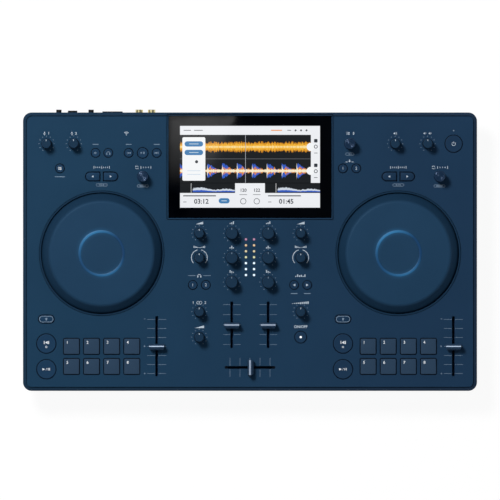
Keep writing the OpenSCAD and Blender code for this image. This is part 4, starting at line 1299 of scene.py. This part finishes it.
def print_mixer_foot():
    """Headphones, effects and the crossfader."""
    x, y = node_spot("trim_knob_1")[0], mixer_row + 10.3
    labels.icon(headphone_icon, (x, y), 4.2)
    for end in both_ends:
        faint.bar((x + end * 4.2, y), (x + end * 12.5, y), 0.5)
    labels.bars((node_spot("trim_knob_2")[0], y - 1.4), 12, effect_bars)
    for x, y in effect_select_keys:
        faint.plate((x, y - 9.4), 7.2, 0.8)
    node = "headphone_mix_knob"
    for channel, end in zip(channels, both_ends):
        labels.ring(node_spot(node, end * 1.2, 9.8), 1.6, 0.5)
        labels.numerals(str(channel), node_spot(node, end * 6.6, 9.8), numeral_size)
    labels.wedge(node_spot("headphone_level_knob", 0, wedge_up), 10.4, wedge_depth)
    labels.bars(node_spot("effect_depth_knob", 0, 8.6), 19, depth_bars)
    labels.numerals("ON/OFF", node_spot("effect_key", 0, 11.3), 2.8)
    ticks("crossfader", 5, 11.0, 20.9, 0.3, across=True)


print_upper_knobs()
print_function_keys()
for side in deck_sides:
    print_deck(side)
for channel in channels:
    print_channel(channel)
print_mixer_foot()
for node in small_knobs:
    if not node.startswith("filter"):
        scale(node, small_scale)
for node in tone_knobs:
    scale(node, tone_scale)
labels.done("panel_print", print_ink, "panel_finish")
faint.done("panel_print_faint", faint_ink, "panel_finish")


# Print on the rear plate, placed as seen from behind, and on the front over the headphone sockets
to_front = Matrix.Rotation(math.pi / 2, 4, "X")
to_rear = Matrix.Rotation(math.pi, 4, "Z") @ to_front
outside_rise = 0.03
icon_level, socket_level = 32.3, 23.9
rear_trims = (210.7, 175.2)
mic_socket, combination_socket, line_pair = 195.6, 136.4, 115.2
booth_sockets = (72.0, 48.0)
charging_port, drive_port = -150.0, -120.0
headphone_sockets = (-200.0, -178.0)

rear_print = Marks(node_box("rear_panel")[1].y, outside_rise)
for x in rear_trims:
    rear_print.wedge((x, icon_level), 5.2, 2.4)
for number, x, level in ((1, mic_socket, icon_level), (2, combination_socket, socket_level)):
    rear_print.icon(microphone_icon, (x - 1.6, level), 3.6)
    rear_print.numerals(str(number), (x + 1.8, level), 2.6)
rear_print.icon(speaker_icon, (line_pair, icon_level), 3.6)
for number, x in enumerate(booth_sockets, 1):
    rear_print.icon(speaker_icon, (x - 1.4, icon_level), 3.4, 1)
    rear_print.numerals(str(number), (x + 2.4, icon_level), 2.6)
rear_print.icon(charging_icon, (charging_port, icon_level), 1)
rear_print.icon(drive_icon, (drive_port, icon_level), 1)
rear_print.done("rear_print", print_ink, "socket_plate", turn=to_rear)

front_print = Marks(-node_box("bottom_case")[0].y, outside_rise)
for x in headphone_sockets:
    front_print.icon(headphone_icon, (x, icon_level), 4.0)
front_print.done("front_print", print_ink, "case_plastic", turn=to_front)


# Picture on the screen: two wave lanes, a tool column, a card and two deck strips
picture = Vector((153.8, 89.8))
picture_left, picture_low = -picture.x / 2, glass_middle[1] + 0.1 - picture.y / 2
layer_step = 0.02
area_gap = 0.3
split_half = 0.2
top_bar_low = 80.0
column_left = 143.8
lane_end = column_left - area_gap
lane_low, lane_split, lane_high = 27.2, 53.6, 79.8
upper_lane, lower_lane = (lane_split + lane_high) / 2, (lane_low + lane_split) / 2
strip_low, strip_high = 16.4, 26.8
block_left, block_right = 60.5, 93.3
deck_lefts = (0, block_right)
deck_strips = ((14, block_left - area_gap), (block_right + 14, picture.x))
playhead_x, playhead_width = 71.95, 0.5
card_x = 15.2
pill_buttons = (((card_x, 70.0), 20.4, 10.4), ((card_x, 60.6), 20.4, 10.4), ((48.5, 7.5), 12.0, 6.0))
pill_depth, pill_corner, pill_line = 5.8, 2.85, 0.8
tool_rows = (73.5, 67.0, 60.0, 46.5, 40.0, 33.0)
tool_x, tool_width = column_left + 5.4, 3.8
top_line = 84.95
beat_length, beat_lead, beat_end = 16.4, 3, 0.72
fine_columns = 460
thinnest_wave = 0.12


class Picture(Marks):
    """Marks on the screen, placed from the picture's lower left corner."""

    def __init__(self, layer):
        super().__init__(glass_high.z + layer * layer_step, layer_step / 2)

    def wave(self, left, right, base, reach, columns, mirrored=True):
        """A sound wave: a strip whose height follows a function of the distance."""
        strip = bmesh.new()
        bmesh.ops.create_grid(strip, x_segments=columns, y_segments=1, size=0.5)
        for vert in strip.verts:
            along = (vert.co.x + 0.5) * (right - left)
            half = max(thinnest_wave, reach(along))
            below = -half if mirrored else 0
            vert.co = (left + along, base + (half if vert.co.y > 0 else below), 0)
        self.add(strip, (0, 0))

    def deck_waves(self, reach):
        """The whole tune in small, in both deck strips."""
        for left, right in deck_strips:
            self.wave(left, right, strip_low + 0.6, reach, 120, mirrored=False)

    def done(self, name, finish):
        """Places the marks on the glass."""
        move(self.shape, (picture_left, picture_low, 0))
        super().done(name, finish, "screen_glass")


def ripple(along, *rates):
    """A steady uneven value between 0 and 1 made of a few sines."""
    total = sum(math.sin(along * rate + rate * 3.1) for rate in rates)
    return 0.5 + 0.5 * total / len(rates)


def rough(along, cell=0.42):
    """A fixed uneven value between 0 and 1 for each short step."""
    value = math.sin(math.floor(along / cell) * 12.9898) * 43758.5453
    return value - math.floor(value)


def since_beat(along):
    """How much of a beat has passed, 0 to 1."""
    return ((along + beat_lead) % beat_length) / beat_length


def steady_wave(along):
    """An even, dense wave with a ragged edge."""
    ragged = 3.6 * rough(along) * (0.5 + 0.5 * ripple(along, 0.21, 0.37))
    return 2.6 + ragged + 1.4 * ripple(along, 0.9, 1.7)


def steady_middle(along):
    """The middle band of the even wave."""
    return steady_wave(along) * (0.25 + 0.65 * rough(along + 9))


def steady_heart(along):
    """The bright core of the even wave."""
    return 0.3 * steady_wave(along + 2) * rough(along + 5)


def beat_wave(along):
    """A beat that starts loud and dies away."""
    share = since_beat(along)
    loud = 8.8 * math.exp(-3.4 * share * share) * (1 - 0.25 * rough(along, 0.8))
    return loud if share < beat_end else 0


def voice_wave(along):
    """The middle band under the beat."""
    return 1.0 + 4.6 * ripple(along, 0.38, 0.9) * rough(along + 7)


def click_wave(along):
    """Sharp starts of the beats and a quiet middle line."""
    return 0.5 + 8.2 * math.exp(-30 * since_beat(along)) + 1.5 * rough(along + 3)


def deck_wave(along):
    """The whole tune in small: it swells and falls."""
    return 1.0 + 3.6 * ripple(along, 0.11, 0.19) + 1.2 * rough(along, 0.9)


def low_deck_wave(along):
    """The low band of the whole tune."""
    return 0.45 * deck_wave(along)


def lane_wave(name, layer, base, reach, finish):
    """A fine wave along one lane."""
    lane = Picture(layer)
    lane.wave(0, lane_end, base, reach, fine_columns)
    lane.done(name, finish)


# Areas of the picture
dark = Picture(1)
dark.block(0, lane_split + split_half, lane_end, lane_high)
dark.block(0, lane_low, lane_end, lane_split - split_half)
dark.block(0, strip_low, block_left - area_gap, strip_high)
dark.block(block_right + area_gap, strip_low, picture.x, strip_high)
dark.done("screen_lanes", lit("screen_dark", tone(29, 32, 34)))

pale = Picture(1)
pale.block(0, top_bar_low, picture.x, picture.y)
pale.block(column_left, strip_high + 2 * split_half, picture.x, top_bar_low)
pale.block(0, 0, block_left, strip_low - area_gap)
pale.block(block_left, 0, block_right, strip_high)
pale.block(block_right, 0, picture.x, strip_low - area_gap)
pale.done("screen_bars", lit("screen_pale", tone(238, 240, 244)))

split_line = Picture(2)
split_line.block(0, lane_split - split_half, lane_end, lane_split + split_half)
split_line.done("screen_split", lit("screen_grey", tone(112, 116, 122)))
playhead = Picture(4.5)
playhead.plate((playhead_x, (lane_low + lane_high) / 2), playhead_width, lane_high - lane_low)
playhead.done("screen_playhead", lit("screen_silver", tone(176, 180, 186)))

# Waves in the lanes and strips
lane_wave("wave_amber", 2, upper_lane, steady_wave, lit("wave_amber", tone(214, 142, 32)))
lane_wave("wave_amber_middle", 3, upper_lane, steady_middle, lit("wave_gold", tone(244, 184, 62)))
lane_wave("wave_amber_heart", 4, upper_lane, steady_heart, lit("wave_cream", tone(253, 226, 158)))
blue_wave = Picture(2)
blue_wave.wave(0, lane_end, lower_lane, beat_wave, 300)
blue_wave.deck_waves(low_deck_wave)
blue_wave.done("wave_blue", lit("wave_blue", tone(52, 92, 192)))
lane_wave("wave_orange", 3, lower_lane, voice_wave, lit("wave_orange", tone(226, 138, 44)))
lane_wave("wave_white", 4, lower_lane, click_wave, lit("wave_white", tone(250, 236, 206)))
deck_outline = Picture(1.5)
deck_outline.deck_waves(deck_wave)
deck_outline.done("wave_pale", lit("wave_pale", tone(206, 214, 226)))

# Card, buttons and signs
card = Picture(5)
card.block(2.6, 29.6, 27.8, 77.4, 1.6)
for base in (upper_lane, lower_lane):
    card.dot((lane_end, base), 4.4, 32)
for left in deck_lefts:
    card.block(left + 12, strip_low, left + 12.35, strip_high)
card.done("screen_card", lit("screen_white", tone(246, 248, 250)))

pills = Picture(6)
details = Picture(7)
for middle, width, line in pill_buttons:
    pills.plate(middle, width, pill_depth, pill_corner)
    details.plate(middle, line, pill_line)
for base in (40.5, 36.5):
    details.plate((card_x, base), 14.4, 0.6)
pills.done("screen_pills", lit("screen_blue", tone(66, 126, 178)))
details.done("screen_pill_lines", lit("screen_mist", tone(196, 214, 230)))

signs = Picture(6)
signs.dot((18.2, 50.4), 1.7, 24)
for index, base in enumerate(tool_rows):
    if index % 3 == 0:
        signs.plate((tool_x, base), tool_width, tool_width, 0.8)
    elif index % 3 == 1:
        signs.ring((tool_x, base), 1.7, 0.7)
    else:
        signs.plate((tool_x, base), tool_width, 0.6)
for x, width in ((8, 8), (20.25, 9.5), (120, 4)):
    signs.plate((x, top_line), width, 0.7)
for index in range(3):
    signs.dot((127 + 6 * index, 84.9), 1.0, 16)
for left, time in zip(deck_lefts, ("03:12", "01:45")):
    signs.plate((left + 21.5, 12.95), 36, 1.1)
    signs.numerals(time, (left + 23.5, 6.6), 5.0)
    signs.plate((left + 5.3, 6.2), 3.6, 0.6)
for x, tempo in ((block_left + 9, "120"), (block_right - 9, "122")):
    signs.numerals(tempo, (x, 19.0), 3.4)
    signs.plate((x, 14.25), 8.4, 0.5)
    signs.ring((x, 7.0), 3.0, 0.6)
signs.done("screen_signs", lit("screen_ink", tone(52, 57, 64)))
alert = Picture(6)
alert.plate((106, top_line), 12, 1.1)
alert.done("screen_alert", lit("screen_orange", tone(240, 152, 84)))


# Studio: a white floor, a soft key light from the rear left, a dim sky and a card for the glass
photo_pixels = 500
pixel_size = 1.0989
photo_middle = 1.83
floor_radius = 12
camera_rise = 8.0
key_distance = 3.0
key_rise = math.radians(57)
key_bearing = Vector((-0.59, 0.81)).normalized()
card_rise = 1.2
card_corners = ((-89, 149), (-15.4, 149), (-72, 38), (-89, 38))
aim = Vector((0, photo_middle, panel_top)) * MM


def staged(name, data):
    """Puts a camera, a light or a mesh in the scene."""
    made = bpy.data.objects.new(name, data)
    bpy.context.scene.collection.objects.link(made)
    return made


camera_data = bpy.data.cameras.new("photo_camera")
camera_data.sensor_width = 36
camera_data.lens = camera_data.sensor_width * camera_rise / (photo_pixels * pixel_size * MM)
camera_data.clip_end = 50
camera = staged("photo_camera", camera_data)
camera.location = aim + Vector((0, 0, camera_rise))
bpy.context.scene.camera = camera

key_data = bpy.data.lights.new("key_light", "AREA")
key_data.shape = "DISK"
key_data.size = 0.81
key_data.energy = 73.0
key_light = staged("key_light", key_data)
key_way = Vector((*(key_bearing * math.cos(key_rise)), math.sin(key_rise)))
key_light.location = aim + key_way * key_distance
key_light.rotation_euler = (-key_way).to_track_quat("-Z", "Y").to_euler()


class Studio(Finish):
    """Nodes for the sky, the floor and the card, which aren't part of the object."""

    def __init__(self, holder):
        holder.use_nodes = True
        self.tree = holder.node_tree
        self.tree.nodes.clear()

    def output(self, kind, wire):
        """Links a shader to the tree's output."""
        self.plug(self.tree.nodes.new(kind), {0: wire})

    def look(self, kind, **values):
        """Adds a shader."""
        return self.node(kind, sockets=socket_names(values))

    def seen(self):
        """1 for rays from the camera, mirrors and glass."""
        path = self.node("ShaderNodeLightPath").socket.node
        kinds = ("Is Camera Ray", "Is Glossy Ray", "Is Transmission Ray")
        camera_ray, glossy_ray, glass_ray = [Wire(self, path.outputs[kind]) for kind in kinds]
        return self.maths("MAXIMUM", camera_ray, self.maths("MAXIMUM", glossy_ray, glass_ray))


def studio_mesh(name, shape, finish_name):
    """A flat shape with a material of its own, and that material's nodes."""
    mesh = bpy.data.meshes.new(name)
    shape.to_mesh(mesh)
    shape.free()
    material = bpy.data.materials.new(finish_name)
    mesh.materials.append(material)
    return staged(name, mesh), Studio(material)


# Sky, brighter near the ground and on the side away from the key light
world = bpy.data.worlds.new("studio_sky")
bpy.context.scene.world = world
sky = Studio(world)
across, rearward, height = sky.split(sky.node("ShaderNodeTexCoord", output="Generated"))
low_sky = 1 - height.between(0, 1)
far_sky = (across * -key_bearing.x - rearward * key_bearing.y).between(0, 1)
sky_light = sky.look("ShaderNodeBackground", color=(0.94, 0.97, 1.0, 1.0),
                     strength=0.13 + low_sky * low_sky * (0.58 + far_sky * 0.8))
sky.output("ShaderNodeOutputWorld", sky_light)

# Floor that looks white and takes a faint shadow
floor, ground = studio_mesh("floor", disc(floor_radius, 96), "floor_white")
matt = ground.look("ShaderNodeBsdfDiffuse", color=(0.82, 0.82, 0.82, 1.0))
shadow_part = ground.look("ShaderNodeBsdfDiffuse", color=(0.09, 0.09, 0.09, 1.0))
white_part = ground.look("ShaderNodeEmission", strength=0.93)
plain = ground.node("ShaderNodeAddShader", sockets={0: shadow_part, 1: white_part})
ground_look = ground.node("ShaderNodeMixShader", sockets={0: ground.seen(), 1: matt, 2: plain})
ground.output("ShaderNodeOutputMaterial", ground_look)

# Card that only the glass sees; its corners are given where they show on the glass
card_shape = bmesh.new()
corners = []
for x, y in card_corners:
    on_glass = Vector((x, y, panel_top)) * MM
    spread = (on_glass - aim) * (card_rise / camera_rise)
    corners.append(card_shape.verts.new(on_glass + spread + Vector((0, 0, card_rise))))
card_shape.faces.new(corners)
glass_card, soft_box = studio_mesh("glass_card", card_shape, "card_glow")
for kind in ("camera", "diffuse", "shadow", "transmission", "volume_scatter"):
    setattr(glass_card, f"visible_{kind}", False)
card_y = soft_box.split(soft_box.node("ShaderNodeTexCoord", output="Object"))[1]
card_scale = MM * (1 + card_rise / camera_rise)
card_low, card_high = min(y for _, y in card_corners), max(y for _, y in card_corners)
fade = card_y.between((0.7 * card_low + 0.3 * card_high) * card_scale, card_high * card_scale)
soft_box.output("ShaderNodeOutputMaterial", soft_box.look("ShaderNodeEmission", strength=fade * 7.6))

bpy.context.scene.view_settings.view_transform = "Standard"
